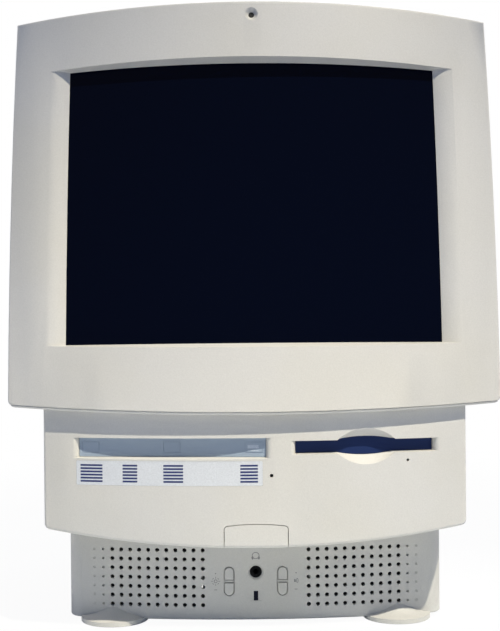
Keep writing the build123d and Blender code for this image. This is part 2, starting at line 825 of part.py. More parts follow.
def make_deck():
    """Sheet-metal deck on the housing's floor, with a cable hole and upturned edges."""
    length = DECK_BACK - DECK_FRONT
    middle = (DECK_BACK + DECK_FRONT) / 2
    with BuildPart() as deck:
        with BuildSketch(Plane.XY.offset(deck_z())):
            with Locations((0, middle)):
                Rectangle(2 * DECK_HALF, length)
            with Locations((0, middle)):
                RectangleRounded(CABLE_HOLE_W, CABLE_HOLE_L, 6, mode=Mode.SUBTRACT)
        extrude(amount=DECK_T)
        with BuildSketch(Plane.XY.offset(deck_z())):
            with Locations((DECK_HALF - DECK_T / 2, middle), (-DECK_HALF + DECK_T / 2, middle)):
                Rectangle(DECK_T, length)
        extrude(amount=14)
    return deck.part


def make_analog_board():
    """Upright circuit board for the display, standing on the deck."""
    with BuildPart() as board:
        with BuildSketch(Plane.YZ.offset(ANALOG_X)):
            with Locations((ANALOG_Y, deck_z() + DECK_T + ANALOG_H / 2)):
                Rectangle(ANALOG_L, ANALOG_H)
        extrude(amount=BOARD_T)
    return board.part


def analog_points(*places):
    """Places on the analog board's inner face, from its middle, as y and z."""
    mid_z = deck_z() + DECK_T + ANALOG_H / 2
    return [(ANALOG_Y + y, mid_z + z) for y, z in places]


def make_analog_parts():
    """Capacitors, coils and a finned heat sink soldered to the analog board."""
    with BuildPart() as parts:
        with BuildSketch(Plane.YZ.offset(ANALOG_X + BOARD_T)):
            with Locations(*analog_points((-60, -50), (-40, -50), (-60, -28), (58, 40))):
                Circle(8)
        extrude(amount=24)
        with BuildSketch(Plane.YZ.offset(ANALOG_X + BOARD_T)):
            with Locations(*analog_points((-60, 45), (-42, 45), (-60, 60), (35, 58), (60, 12))):
                Circle(5)
        extrude(amount=14)
        with BuildSketch(Plane.YZ.offset(ANALOG_X + BOARD_T)):
            with Locations(*analog_points((-22, 40))):
                with GridLocations(6, 1, 6, 1):
                    Rectangle(1.5, 46)
                with Locations((0, 0)):
                    Rectangle(32, 3)
        extrude(amount=22)
    return parts.part


def make_flyback():
    """Line output transformer with its ferrite limb."""
    with BuildPart() as flyback:
        with BuildSketch(Plane.YZ.offset(ANALOG_X + BOARD_T)):
            with Locations(*analog_points((42, -35))):
                RectangleRounded(34, 52, 5)
        extrude(amount=32)
        with BuildSketch(Plane.YZ.offset(ANALOG_X + BOARD_T)):
            with Locations(*analog_points((42, -35))):
                RectangleRounded(46, 20, 2)
        extrude(amount=18)
    return flyback.part


def make_microphone():
    """Microphone capsule in its rubber boot behind the bezel's pinhole."""
    with BuildPart() as microphone:
        with BuildSketch(FACE.offset(-WALL - RUN_FIT)):
            with Locations((0, MIC_V)):
                Circle(MIC_BOOT_R)
        extrude(amount=-MIC_BOOT_L)
    return microphone.part


def fan_plane():
    """Plane on the fan's front side, facing into the case."""
    return Plane(origin=(FAN_X, BACK - WALL - SLIP - FAN_T, FAN_Z), x_dir=(1, 0, 0), z_dir=(0, -1, 0))


def make_fan_frame():
    """Square fan frame with its duct, motor spider and shaft bearing."""
    with BuildPart() as frame:
        with BuildSketch(fan_plane()):
            RectangleRounded(FAN, FAN, 5)
            Circle(FAN / 2 - 2, mode=Mode.SUBTRACT)
        extrude(amount=-FAN_T)
        with BuildSketch(fan_plane().offset(-FAN_T)):
            Circle(FAN_HUB_R)
            with PolarLocations(FAN / 4 + 5, 4, start_angle=45):
                Rectangle(FAN / 2 - 4, 5)
            Circle(SPINDLE_R + RUN_FIT, mode=Mode.SUBTRACT)
        extrude(amount=3)
        with BuildSketch(fan_plane()):
            with GridLocations(FAN - 9, FAN - 9, 2, 2):
                Circle(2.1)
        extrude(amount=-FAN_T, mode=Mode.SUBTRACT)
    return frame.part


def make_fan_rotor():
    """Fan rotor: hub, shaft and swept blades."""
    blade_depth = FAN_T - 8
    with BuildPart() as rotor:
        with BuildSketch(fan_plane().offset(-2)):
            Circle(FAN_HUB_R)
        extrude(amount=-blade_depth)
        with BuildSketch(fan_plane().offset(-2 - blade_depth)):
            Circle(SPINDLE_R)
        extrude(amount=-(FAN_T - 2 - blade_depth) + 0.5)
        with BuildSketch(fan_plane().offset(-3)):
            with PolarLocations(FAN_HUB_R - 1, FAN_BLADES):
                add(fan_blade())
        extrude(amount=-blade_depth + 3)
    return rotor.part


def fan_blade():
    """Section of one swept fan blade, from the hub outwards along +X."""
    tip = FAN / 2 - 4 - FAN_HUB_R
    with BuildSketch() as blade:
        with BuildLine():
            ThreePointArc((0, -6), (tip / 2, -5), (tip, -9))
            Line((tip, -9), (tip, -6.4))
            ThreePointArc((tip, -6.4), (tip / 2, -2.6), (0, -3.4))
            Line((0, -3.4), (0, -6))
        make_face()
    return blade.sketch


# ================================================================ drive section
def fascia_y(x):
    """Distance of the fascia's front face along Y at a distance x from the middle."""
    return FASCIA_Y + sagitta(FASCIA_R, x)


def slot_plane(x):
    """Upright plane that touches the bowed fascia at x, level with the drive slots."""
    turn = asin(x / FASCIA_R)
    return Plane(
        origin=(x, fascia_y(x), SLOT_Z),
        x_dir=(cos(turn), sin(turn), 0),
        z_dir=(sin(turn), -cos(turn), 0),
    )


def lens(half_height, radius):
    """Pointed oval made of two equal arcs."""
    half = sqrt(radius**2 - (radius - half_height) ** 2)
    with BuildSketch() as shape:
        with BuildLine():
            ThreePointArc((-half, 0), (0, half_height), (half, 0))
            ThreePointArc((half, 0), (0, -half_height), (-half, 0))
        make_face()
    return shape.sketch


def slot_tunnel(x, width, height):
    """Short walled tunnel behind a drive slot, which guides the disc and carries its door's pins."""
    plane = slot_plane(x)
    with BuildPart() as tunnel:
        with BuildSketch(plane):
            Rectangle(width + 2 * TUNNEL_T, height + 2 * TUNNEL_T)
        extrude(amount=-TUNNEL_DEPTH)
        add(fascia_form(RUN_FIT), mode=Mode.INTERSECT)
    return tunnel.part


def slot_cut(x, width, height, sill):
    """Space of a drive slot: rolled ends, a sill that slopes down to the face, and a straight tunnel."""
    plane = slot_plane(x)
    level = Plane(origin=plane.origin, x_dir=plane.x_dir, z_dir=(0, 0, 1))
    upright = Plane(origin=plane.origin, x_dir=-plane.z_dir, z_dir=plane.x_dir)
    half = width / 2
    end = half + SLOT_ROLL
    edge = sagitta(FASCIA_R, end)
    roll_depth = DOOR_RECESS - edge
    back = TUNNEL_DEPTH + 1
    low = -height / 2
    front_low = low - sill * (DOOR_RECESS + SLOT_AHEAD) / DOOR_RECESS
    with BuildPart() as cut:
        with BuildSketch(level.offset(-height)):
            with BuildLine():
                Polyline((end, edge), (end, -SLOT_AHEAD), (-end, -SLOT_AHEAD), (-end, edge))
                EllipticalCenterArc(
                    (-end, DOOR_RECESS), SLOT_ROLL, roll_depth, start_angle=270, arc_size=90
                )
                Polyline((-half, DOOR_RECESS), (-half, back), (half, back), (half, DOOR_RECESS))
                EllipticalCenterArc(
                    (end, DOOR_RECESS), SLOT_ROLL, roll_depth, start_angle=180, arc_size=90
                )
            make_face()
        extrude(amount=2 * height)
        with BuildSketch(upright):
            with BuildLine():
                Polyline(
                    (-SLOT_AHEAD, front_low),
                    (DOOR_RECESS, low),
                    (back, low),
                    (back, height / 2),
                    (-SLOT_AHEAD, height / 2),
                    close=True,
                )
            make_face()
        extrude(amount=width, both=True, mode=Mode.INTERSECT)
    return cut.part


def scoop():
    """Finger scoop: a pointed oval on the face that narrows to the flap's own bulge."""
    plane = slot_plane(FLOPPY_X)
    with BuildPart() as hollow:
        with BuildSketch(plane.offset(SEAM * 2)):
            add(lens(SCOOP_HALF, SCOOP_R))
        with BuildSketch(plane.offset(-SCOOP_DEPTH)):
            add(lens(BULGE_HALF, BULGE_R))
        loft()
        with BuildSketch(plane.offset(-SCOOP_DEPTH)):
            add(flap_outline(SLIP))
        extrude(amount=SCOOP_DEPTH - TUNNEL_DEPTH - 1)
    return hollow.part


def scoop_sleeve():
    """Wall behind the fascia's face that lines the finger scoop and the space of the flap's bulge."""
    plane = slot_plane(FLOPPY_X)
    with BuildPart() as sleeve:
        with BuildSketch(plane):
            add(lens(SCOOP_HALF + TUNNEL_T, SCOOP_R + TUNNEL_T))
        with BuildSketch(plane.offset(-SCOOP_DEPTH)):
            add(lens(BULGE_HALF + TUNNEL_T, BULGE_R + TUNNEL_T))
        loft()
        with BuildSketch(plane.offset(-SCOOP_DEPTH)):
            add(lens(BULGE_HALF + TUNNEL_T, BULGE_R + TUNNEL_T))
        extrude(amount=SCOOP_DEPTH - TUNNEL_DEPTH)
        add(fascia_form(RUN_FIT), mode=Mode.INTERSECT)
    return sleeve.part


def flap_outline(grow):
    """Front view of the floppy flap: a low bar with a bulge in the middle, grown by a clearance."""
    with BuildSketch() as outline:
        Rectangle(FLOPPY_W - 2 * SLIP + 2 * grow, FLOPPY_H - 2 * SLIP + 2 * grow)
        add(lens(BULGE_HALF - SLIP + grow, BULGE_R + grow))
    return outline.sketch


def hinge_height(height):
    """Height of a slot door's pins above the slot's middle."""
    return height / 2 - SLIP - HINGE_DROP


def door_pins(x, width, height, grow):
    """Two hinge pins at the upper corners of a slot door, grown by a clearance for their holes."""
    plane = slot_plane(x)
    centre = plane.from_local_coords((0, hinge_height(height), -DOOR_RECESS - DOOR_T / 2))
    pin_plane = Plane(origin=centre, x_dir=(0, 0, 1), z_dir=plane.x_dir)
    with BuildPart() as pins:
        for side in (-1, 1):
            with BuildSketch(pin_plane.offset(side * (width / 2 - SLIP))):
                Circle(PIN_R + grow)
            extrude(amount=side * (SLIP + PIN_LENGTH + grow))
    return pins.part


def tab_outline(grow):
    """Front view of the name tab: arched top with small round corners, open below."""
    half = TAB_W / 2 + grow
    side_z = TAB_TOP - TAB_ARCH + grow
    with BuildSketch() as outline:
        with BuildLine():
            ThreePointArc((-half, side_z), (0, TAB_TOP + grow), (half, side_z))
            Polyline((half, side_z), (half, FASCIA_BOTTOM - 10), (-half, FASCIA_BOTTOM - 10), (-half, side_z))
        make_face()
        fillet([v for v in outline.vertices() if v.Y > side_z - 1], TAB_CORNER + grow)
    return outline.sketch


def front_prism(sketch, depth):
    """A front view pushed straight back into the fascia by a depth from its foremost point."""
    with BuildPart() as prism:
        with BuildSketch(Plane.XZ.offset(-FASCIA_Y + 5)):
            add(sketch)
        extrude(amount=-depth - 5)
    return prism.part


def fascia_wall():
    """Hollow wall of the drive fascia before anything is cut into it."""
    with BuildPart() as wall:
        add(fascia_form(0))
        add(fascia_form(WALL), mode=Mode.SUBTRACT)
    return wall.part


def plinth_neck(grow):
    """Plan form of the speaker plinth over its whole height, grown by a clearance."""
    with BuildPart() as neck:
        with BuildSketch(Plane.XY):
            with Locations((0, PLINTH_Y)):
                add(plinth_plan(-grow))
        extrude(amount=PLINTH_TOP + 20)
    return neck.part


def plinth_plan(inset):
    """Plan outline of the plinth: bowed front with large round corners; y is 0 at the front."""
    side = PLINTH_HALF - inset
    edge_y = PLINTH_R - sqrt((PLINTH_R - inset) ** 2 - side**2)
    depth = FASCIA_BACK - PLINTH_Y
    with BuildSketch() as plan:
        with BuildLine():
            ThreePointArc((-side, edge_y), (0, inset), (side, edge_y))
            Polyline((side, edge_y), (side, depth), (-side, depth), (-side, edge_y))
        make_face()
        fillet([v for v in plan.vertices() if v.Y < edge_y + 1], PLINTH_CORNER - inset)
    return plan.sketch


def label_area(grow):
    """Front view of the label band under the optical slot."""
    with BuildSketch() as area:
        with Locations((LABEL_X, LABEL_Z)):
            RectangleRounded(LABEL_W + 2 * grow, LABEL_H + 2 * grow, LABEL_CORNER)
    return area.sketch


def make_fascia(wall):
    """Drive fascia with both slots, finger scoop, pinholes, label recess and the opening for its tab."""
    with BuildPart() as fascia:
        add(wall)
        add(plinth_neck(SEAM), mode=Mode.SUBTRACT)
        add(slot_tunnel(CD_X, CD_W, CD_H))
        add(slot_tunnel(FLOPPY_X, FLOPPY_W, FLOPPY_H))
        add(scoop_sleeve())
        add(slot_cut(CD_X, CD_W, CD_H, CD_SILL), mode=Mode.SUBTRACT)
        add(slot_cut(FLOPPY_X, FLOPPY_W, FLOPPY_H, FLOPPY_SILL), mode=Mode.SUBTRACT)
        add(scoop(), mode=Mode.SUBTRACT)
        add(door_pins(CD_X, CD_W, CD_H, RUN_FIT), mode=Mode.SUBTRACT)
        add(door_pins(FLOPPY_X, FLOPPY_W, FLOPPY_H, RUN_FIT), mode=Mode.SUBTRACT)
        add(front_prism(tab_outline(TAB_GAP), WALL * 3), mode=Mode.SUBTRACT)
        add(label_recess(), mode=Mode.SUBTRACT)
        with BuildSketch(Plane.XZ.offset(-FASCIA_Y + 5)):
            with Locations((CD_PIN_X, CD_PIN_Z)):
                Circle(CD_PIN_R)
            with Locations((FLOPPY_PIN_X, FLOPPY_PIN_Z)):
                Circle(FLOPPY_PIN_R)
        extrude(amount=-30, mode=Mode.SUBTRACT)
    return fascia.part


def label_recess():
    """Shallow recess of even depth that the label plate is glued into."""
    with BuildPart() as recess:
        add(fascia_form(-1))
        add(fascia_form(LABEL_T), mode=Mode.SUBTRACT)
        add(front_prism(label_area(RUN_FIT * 2), 30), mode=Mode.INTERSECT)
    return recess.part


def make_label_plate():
    """Thin metal-look label band that follows the fascia's bow."""
    with BuildPart() as plate:
        add(fascia_form(0))
        add(fascia_form(LABEL_T), mode=Mode.SUBTRACT)
        add(front_prism(label_area(0), 30), mode=Mode.INTERSECT)
    return plate.part


def make_name_tab(wall):
    """Blank tab that snaps into the middle of the fascia's lower edge."""
    with BuildPart() as tab:
        add(wall)
        add(front_prism(tab_outline(0), WALL * 3), mode=Mode.INTERSECT)
        add(plinth_neck(SEAM), mode=Mode.SUBTRACT)
    return tab.part


def make_cd_door():
    """Door of the optical slot, with its raised frames and hinge pins."""
    plane = slot_plane(CD_X).offset(-DOOR_RECESS)
    with BuildPart() as door:
        with BuildSketch(plane):
            RectangleRounded(CD_W - 2 * SLIP, CD_H - 2 * SLIP, 0.5)
        extrude(amount=-DOOR_T)
        with BuildSketch(plane):
            with GridLocations(DOOR_FRAME_PITCH, 1, 3, 1):
                Rectangle(DOOR_FRAME_W, DOOR_FRAME_H)
                Rectangle(
                    DOOR_FRAME_W - 2 * DOOR_FRAME_LINE,
                    DOOR_FRAME_H - 2 * DOOR_FRAME_LINE,
                    mode=Mode.SUBTRACT,
                )
        extrude(amount=-DOOR_FRAME_LINE, mode=Mode.SUBTRACT)
        add(door_pins(CD_X, CD_W, CD_H, 0))
    return door.part


def make_floppy_flap():
    """Flap of the floppy slot, bulged in the middle for the fingers, with its hinge pins."""
    plane = slot_plane(FLOPPY_X).offset(-DOOR_RECESS)
    with BuildPart() as flap:
        with BuildSketch(plane):
            add(flap_outline(0))
        extrude(amount=-DOOR_T)
        add(door_pins(FLOPPY_X, FLOPPY_W, FLOPPY_H, 0))
    return flap.part


# ================================================================ speaker plinth
def half_stadium(grow, upper):
    """Button outline: straight at the bar between a pair and fully round at its far end."""
    half = BUTTON_W / 2 + grow
    top = BUTTON_H / 2 + grow
    sign = 1 if upper else -1
    with BuildSketch() as outline:
        with BuildLine():
            Polyline(
                (-half, sign * (top - half)), (-half, -sign * top), (half, -sign * top), (half, sign * (top - half))
            )
            ThreePointArc((half, sign * (top - half)), (0, sign * top), (-half, sign * (top - half)))
        make_face()
    return outline.sketch


def button_spot(side, upper):
    """Centre of one button as x and z."""
    rise = (BUTTON_H + BUTTON_BAR) / 2 + BUTTON_GAP
    return (side * BUTTON_X, BUTTON_Z + (rise if upper else -rise))


def toe(side):
    """Foot that reaches forward from one side of the plinth: a low round step that flows up into its face."""
    centre = (side * TOE_X, TOE_Y, 0)
    with BuildPart() as foot:
        with BuildSketch(Plane(origin=centre, x_dir=(1, 0, 0), z_dir=(0, -1, 0))):
            with BuildLine():
                Polyline((0, TOE_H), (0, 0), (TOE_R - TOE_EDGE, 0), (TOE_R, TOE_EDGE), (TOE_R, TOE_STEP))
                TangentArc((TOE_R, TOE_STEP), (TOE_NECK, TOE_H), tangent=(-1, 0.1))
                Line((TOE_NECK, TOE_H), (0, TOE_H))
            make_face()
        revolve(axis=Axis(centre, (0, 0, 1)))
    return foot.part


def plinth_face_y(x):
    """Distance of the plinth's front face along Y at a distance x from the middle."""
    return PLINTH_Y + sagitta(PLINTH_R, x)


def make_plinth():
    """Speaker plinth: bowed shell with grille holes, toes, button openings, jack and lamp holes."""
    outer_x = HOLE_INNER_X + HOLE_PITCH * (OPEN_COLUMNS - 1) / 2
    blind_x = HOLE_INNER_X + HOLE_PITCH * (OPEN_COLUMNS + (BLIND_COLUMNS - 1) / 2)
    mid_z = HOLE_TOP_Z - HOLE_PITCH * (HOLE_ROWS - 1) / 2
    board_y = PLINTH_Y + BUTTON_BOARD_SETBACK
    height = PLINTH_TOP - PLINTH_Z
    back = Plane.XZ.offset(-PLINTH_Y - WALL * 9)
    with BuildPart() as plinth:
        with BuildSketch(Plane.XY.offset(PLINTH_Z)):
            with Locations((0, PLINTH_Y)):
                add(plinth_plan(0))
        extrude(amount=height)
        bottom = plinth.faces().sort_by(Axis.Z)[0].edges()
        fillet([e for e in bottom if e.center().Y < FASCIA_BACK - 1], PLINTH_EDGE)
        with BuildSketch(Plane.XZ.offset(-PLINTH_Y - WALL / 2)):
            with Locations((0, LAMP_Z - LAMP_H / 2 - RUN_FIT - LEDGE_H / 2)):
                Rectangle(LEDGE_W, LEDGE_H)
        extrude(amount=WALL / 2 + LEDGE_PROUD)
        for side in (-1, 1):
            add(toe(side))
        with BuildSketch(Plane.XY.offset(PLINTH_Z + WALL)):
            with Locations((0, PLINTH_Y)):
                add(plinth_plan(WALL))
            with Locations((0, FASCIA_BACK)):
                Rectangle(2 * (PLINTH_HALF - WALL), 20)
        extrude(amount=height, mode=Mode.SUBTRACT)
        with BuildSketch(Plane.XZ.offset(-board_y)):
            with Locations((-29, 15), (29, 15), (-29, 45), (29, 45)):
                Circle(2.6)
        extrude(until=Until.NEXT)
        with BuildSketch(back):
            for side in (-1, 1):
                with Locations((side * outer_x, mid_z)):
                    with GridLocations(HOLE_PITCH, HOLE_PITCH, OPEN_COLUMNS, HOLE_ROWS):
                        Circle(HOLE_R)
            for side in (-1, 1):
                for upper in (True, False):
                    with Locations(button_spot(side, upper)):
                        add(half_stadium(BUTTON_GAP, upper))
            with Locations((0, JACK_Z)):
                Circle(JACK_R + RUN_FIT)
            with Locations((0, LAMP_Z)):
                Rectangle(LAMP_W + 2 * RUN_FIT, LAMP_H + 2 * RUN_FIT)
        extrude(amount=WALL * 12, mode=Mode.SUBTRACT)
        with Locations(Plane(origin=(0, PLINTH_Y, JACK_Z), x_dir=(1, 0, 0), z_dir=(0, -1, 0))):
            CounterSinkHole(
                radius=JACK_R + RUN_FIT,
                counter_sink_radius=JACK_SINK_R,
                depth=WALL * 2,
                counter_sink_angle=JACK_SINK_ANGLE,
            )
        with BuildSketch(Plane.XZ.offset(-PLINTH_Y + 5)):
            for side in (-1, 1):
                for upper in (True, False):
                    with Locations(button_spot(side, upper)):
                        add(half_stadium(BUTTON_GAP + BUTTON_RIM, upper))
        rim_y = plinth_face_y(BUTTON_X) - PLINTH_Y
        extrude(amount=-5 - rim_y - BUTTON_RIM_DEPTH, mode=Mode.SUBTRACT)
        with BuildSketch(Plane.XZ.offset(-PLINTH_Y + 5)):
            for side in (-1, 1):
                with Locations((side * blind_x, mid_z)):
                    with GridLocations(HOLE_PITCH, HOLE_PITCH, BLIND_COLUMNS, HOLE_ROWS):
                        Circle(DIMPLE_R)
        dimple_y = plinth_face_y(blind_x) - PLINTH_Y
        extrude(amount=-5 - dimple_y - DIMPLE_DEPTH, mode=Mode.SUBTRACT)
    return plinth.part


def make_button(side, upper):
    """One push button: half-stadium cap, retaining flange behind the wall and switch stem."""
    x, z = button_spot(side, upper)
    front_y = plinth_face_y(x) - BUTTON_PROUD
    flange_y = PLINTH_Y + WALL + 1.2
    board_y = PLINTH_Y + BUTTON_BOARD_SETBACK
    with BuildPart() as button:
        with BuildSketch(Plane.XZ.offset(-flange_y)):
            with Locations((x, z)):
                add(half_stadium(0, upper))
        extrude(amount=flange_y - front_y)
        front = button.faces().sort_by(Axis.Y)[0]
        fillet(front.edges(), BUTTON_PROUD * 0.8)
        with BuildSketch(Plane.XZ.offset(-flange_y)):
            with Locations((x, z)):
                add(half_stadium(BUTTON_FLANGE, upper))
        extrude(amount=-1)
        with BuildSketch(Plane.XZ.offset(-flange_y - 1)):
            with Locations((x, z)):
                Circle(1.5)
        extrude(amount=flange_y + 1 - board_y + SWITCH_T + BUTTON_TRAVEL + RUN_FIT)
    return button.part


def make_button_board():
    """Circuit board behind the plinth's middle, with four tactile switches and the lamp's diode."""
    board_y = PLINTH_Y + BUTTON_BOARD_SETBACK
    with BuildPart() as board:
        with BuildSketch(Plane.XZ.offset(-board_y)):
            with Locations((0, BUTTON_Z)):
                RectangleRounded(66, 40, 2)
        extrude(amount=-BOARD_T)
        with BuildSketch(Plane.XZ.offset(-board_y)):
            for side in (-1, 1):
                for upper in (True, False):
                    with Locations(button_spot(side, upper)):
                        Rectangle(6, 6)
        extrude(amount=SWITCH_T)
    return board.part


def make_headphone_jack():
    """Headphone jack: threaded nose through the plinth and body soldered to the button board."""
    board_y = PLINTH_Y + BUTTON_BOARD_SETBACK
    nose_y = PLINTH_Y + JACK_SINK
    body_y = PLINTH_Y + WALL + 0.6
    with BuildPart() as jack:
        with BuildSketch(Plane.XZ.offset(-board_y)):
            with Locations((0, JACK_Z)):
                Rectangle(12, 10.5)
        extrude(amount=board_y - body_y)
        with BuildSketch(Plane.XZ.offset(-body_y)):
            with Locations((0, JACK_Z)):
                Circle(JACK_R)
        extrude(amount=body_y - nose_y)
        with BuildSketch(Plane.XZ.offset(-nose_y)):
            with Locations((0, JACK_Z)):
                Circle(JACK_BORE)
        extrude(amount=-JACK_DEPTH, mode=Mode.SUBTRACT)
        mouth = jack.edges().filter_by(GeomType.CIRCLE).group_by(Axis.Y)[0].sort_by(SortBy.RADIUS)[0]
        chamfer(mouth, 0.8)
    return jack.part


def make_power_lamp():
    """Light pipe of the power lamp, from the plinth's face to the diode on the button board."""
    board_y = PLINTH_Y + BUTTON_BOARD_SETBACK
    face_y = PLINTH_Y + LAMP_SINK
    with BuildPart() as lamp:
        with BuildSketch(Plane.XZ.offset(-face_y)):
            with Locations((0, LAMP_Z)):
                Rectangle(LAMP_W, LAMP_H)
        extrude(amount=-(board_y - face_y))
    return lamp.part


def speaker_plane(side):
    """Plane behind the plinth's grille that the speaker's rim lies on, facing forwards."""
    turn = side * asin(SPEAKER_X / PLINTH_R)
    inner_r = PLINTH_R - WALL - RUN_FIT - MESH_T
    rim_gap = sagitta(inner_r, SPEAKER_W / 2)
    setback = WALL + RUN_FIT + MESH_T + rim_gap + RUN_FIT
    touch = Plane(
        origin=(side * SPEAKER_X, plinth_face_y(SPEAKER_X), SPEAKER_Z),
        x_dir=(cos(turn), sin(turn), 0),
        z_dir=(sin(turn), -cos(turn), 0),
    )
    return touch.offset(-setback)


def make_speaker_frame(side):
    """Oval speaker's pressed rim and basket, with its magnet behind."""
    plane = speaker_plane(side)
    bore_w = SPEAKER_W - 9
    bore_h = SPEAKER_H - 9
    throat = 2 * MAGNET_R
    with BuildPart() as frame:
        with BuildSketch(plane):
            RectangleRounded(SPEAKER_W, SPEAKER_H, SPEAKER_H / 2 - 0.5)
        extrude(amount=-SPEAKER_T)
        with BuildSketch(plane.offset(-SPEAKER_T)):
            RectangleRounded(bore_w + 3, bore_h + 3, bore_h / 2)
        with BuildSketch(plane.offset(-BASKET_D)):
            RectangleRounded(throat, throat, MAGNET_R - 0.5)
        loft()
        with BuildSketch(plane.offset(-BASKET_D)):
            Circle(MAGNET_R)
        extrude(amount=-MAGNET_T)
        with BuildSketch(plane):
            RectangleRounded(bore_w, bore_h, bore_h / 2 - 0.5)
        with BuildSketch(plane.offset(-BASKET_D + 1.5)):
            RectangleRounded(throat - 8, throat - 8, MAGNET_R - 4.5)
        loft(mode=Mode.SUBTRACT)
    return frame.part


def make_speaker_cone(side):
    """Paper cone with its foam roll and dust cap, glued inside the speaker's rim."""
    plane = speaker_plane(side)
    bore_w = SPEAKER_W - 15
    bore_h = SPEAKER_H - 15
    coil = 13.0
    depth = BASKET_D - 5
    with BuildPart() as cone:
        with BuildSketch(plane):
            RectangleRounded(bore_w, bore_h, bore_h / 2 - 0.5)
        with BuildSketch(plane.offset(-depth)):
            RectangleRounded(coil, coil, coil / 2 - 0.2)
        loft()
        with BuildSketch(plane):
            RectangleRounded(bore_w - 2, bore_h - 2, bore_h / 2 - 1.5)
        with BuildSketch(plane.offset(-depth + 1.5)):
            RectangleRounded(coil - 1, coil - 1, coil / 2 - 0.7)
        loft(mode=Mode.SUBTRACT)
        with BuildSketch(plane):
            RectangleRounded(bore_w + 3, bore_h + 3, bore_h / 2 + 1)
            RectangleRounded(bore_w - 2, bore_h - 2, bore_h / 2 - 1.5, mode=Mode.SUBTRACT)
        extrude(amount=-0.8)
    return cone.part


def make_speaker_mesh():
    """Thin dust mesh glued to the inside of the plinth behind each grille."""
    with BuildPart() as mesh:
        with BuildSketch(Plane.XY.offset(SPEAKER_Z - SPEAKER_H / 2)):
            with Locations((0, PLINTH_Y)):
                add(plinth_plan(WALL + RUN_FIT))
                add(plinth_plan(WALL + RUN_FIT + MESH_T), mode=Mode.SUBTRACT)
            for side in (-1, 1):
                with Locations((side * (BIG / 2 + SPEAKER_X + SPEAKER_W / 2 - 2), 0)):
                    Rectangle(BIG, BIG, mode=Mode.SUBTRACT)
            Rectangle(2 * (SPEAKER_X - SPEAKER_W / 2 + 2), BIG, mode=Mode.SUBTRACT)
            with Locations((0, FASCIA_BACK)):
                Rectangle(BIG, 30, mode=Mode.SUBTRACT)
        extrude(amount=SPEAKER_H)
    return mesh.part


# ================================================================ base
def pan_plan(inset):
    """Plan outline of the base pan, in the frame's own axes."""
    front = FASCIA_BACK + SEAM
    return tapered_plan(PLINTH_HALF, PAN_REAR_HALF, front + 30, PAN_BACK, 14, front, inset)


def tray_z():
    """Underside of the logic board's tray above the pan's floor."""
    return PAN_Z + WALL + SEAM


def make_base_pan():
    """Base pan: floor, tapering side walls, guide ribs and the opening for the logic board's tray."""
    with BuildPart() as pan:
        with BuildSketch(Plane.XY.offset(PAN_Z)):
            add(pan_plan(0))
        extrude(amount=PAN_TOP - PAN_Z)
        with BuildSketch(Plane.XY.offset(PAN_Z + WALL)):
            add(pan_plan(WALL))
            with Locations((0, FASCIA_BACK)):
                Rectangle(2 * (PLINTH_HALF - WALL), 20)
        extrude(amount=PAN_TOP, mode=Mode.SUBTRACT)
        rib_x = TRAY_W / 2 + SLIP + 1
        with BuildSketch(Plane.XY.offset(PAN_Z + WALL)):
            with Locations((TRAY_X - rib_x, 40), (TRAY_X + rib_x, 40)):
                Rectangle(2, 250)
        extrude(amount=9)
        with BuildSketch(Plane.XZ.offset(-PAN_BACK - 5)):
            with Locations((TRAY_X, PAN_Z + WALL + TRAY_H / 2)):
                Rectangle(TRAY_W + 2 * SLIP, TRAY_H)
        extrude(amount=5 + WALL + 1, mode=Mode.SUBTRACT)
        with BuildSketch(Plane.XY.offset(PAN_Z)):
            with Locations((TRAY_X, -55)):
                with GridLocations(VENT_PITCH, 1, 12, 1):
                    SlotOverall(SIDE_VENT_L, VENT_W, rotation=90)
        extrude(amount=WALL, mode=Mode.SUBTRACT)
    return pan.part


def make_rubber_feet():
    """Two round rubber feet under the rear of the pan."""
    with BuildPart() as feet:
        with BuildSketch(Plane.XY):
            with Locations((-FOOT_X, FOOT_Y), (FOOT_X, FOOT_Y)):
                Circle(FOOT_R)
        extrude(amount=PAN_Z)
        fillet(feet.edges().group_by(Axis.Z)[0], 1)
    return feet.part


def make_tray():
    """Slide-out tray of the logic board: floor, standoffs and rear door with its port openings."""
    rear = PAN_BACK
    with BuildPart() as tray:
        with BuildSketch(Plane.XY.offset(tray_z())):
            with Locations((TRAY_X, rear - TRAY_LENGTH / 2)):
                Rectangle(TRAY_W, TRAY_LENGTH)
        extrude(amount=TRAY_T)
        with BuildSketch(Plane.XZ.offset(-rear)):
            with Locations((TRAY_X, tray_z() + (TRAY_H - 2 * SEAM) / 2)):
                Rectangle(TRAY_W, TRAY_H - 2 * SEAM)
        extrude(amount=DOOR_PLATE_T)
        with BuildSketch(Plane.XY.offset(tray_z() + TRAY_T)):
            with Locations((TRAY_X, board_mid_y())):
                with GridLocations(LOGIC_W - 16, LOGIC_L - 16, 2, 2):
                    Circle(3)
        extrude(amount=STANDOFF)
        with BuildSketch(Plane.XZ.offset(-rear - 1)):
            for x, width in port_row():
                with Locations((x, port_z())):
                    Rectangle(width + 2 * SLIP, PORT_H + 2 * SLIP)
        extrude(amount=DOOR_PLATE_T + 2, mode=Mode.SUBTRACT)
        with BuildSketch(Plane.XZ.offset(-rear - 1)):
            with Locations((TRAY_X, tray_z() + TRAY_H - 8)):
                with GridLocations(VENT_PITCH, 1, 15, 1):
                    SlotOverall(9, VENT_W, rotation=90)
        extrude(amount=DOOR_PLATE_T + 2, mode=Mode.SUBTRACT)
    return tray.part


def board_mid_y():
    """Middle of the logic board along Y."""
    return PAN_BACK - DOOR_PLATE_T - SLIP - LOGIC_L / 2


def board_z():
    """Top of the logic board."""
    return tray_z() + TRAY_T + STANDOFF + BOARD_T


def port_z():
    """Middle height of the rear ports."""
    return board_z() + PORT_H / 2


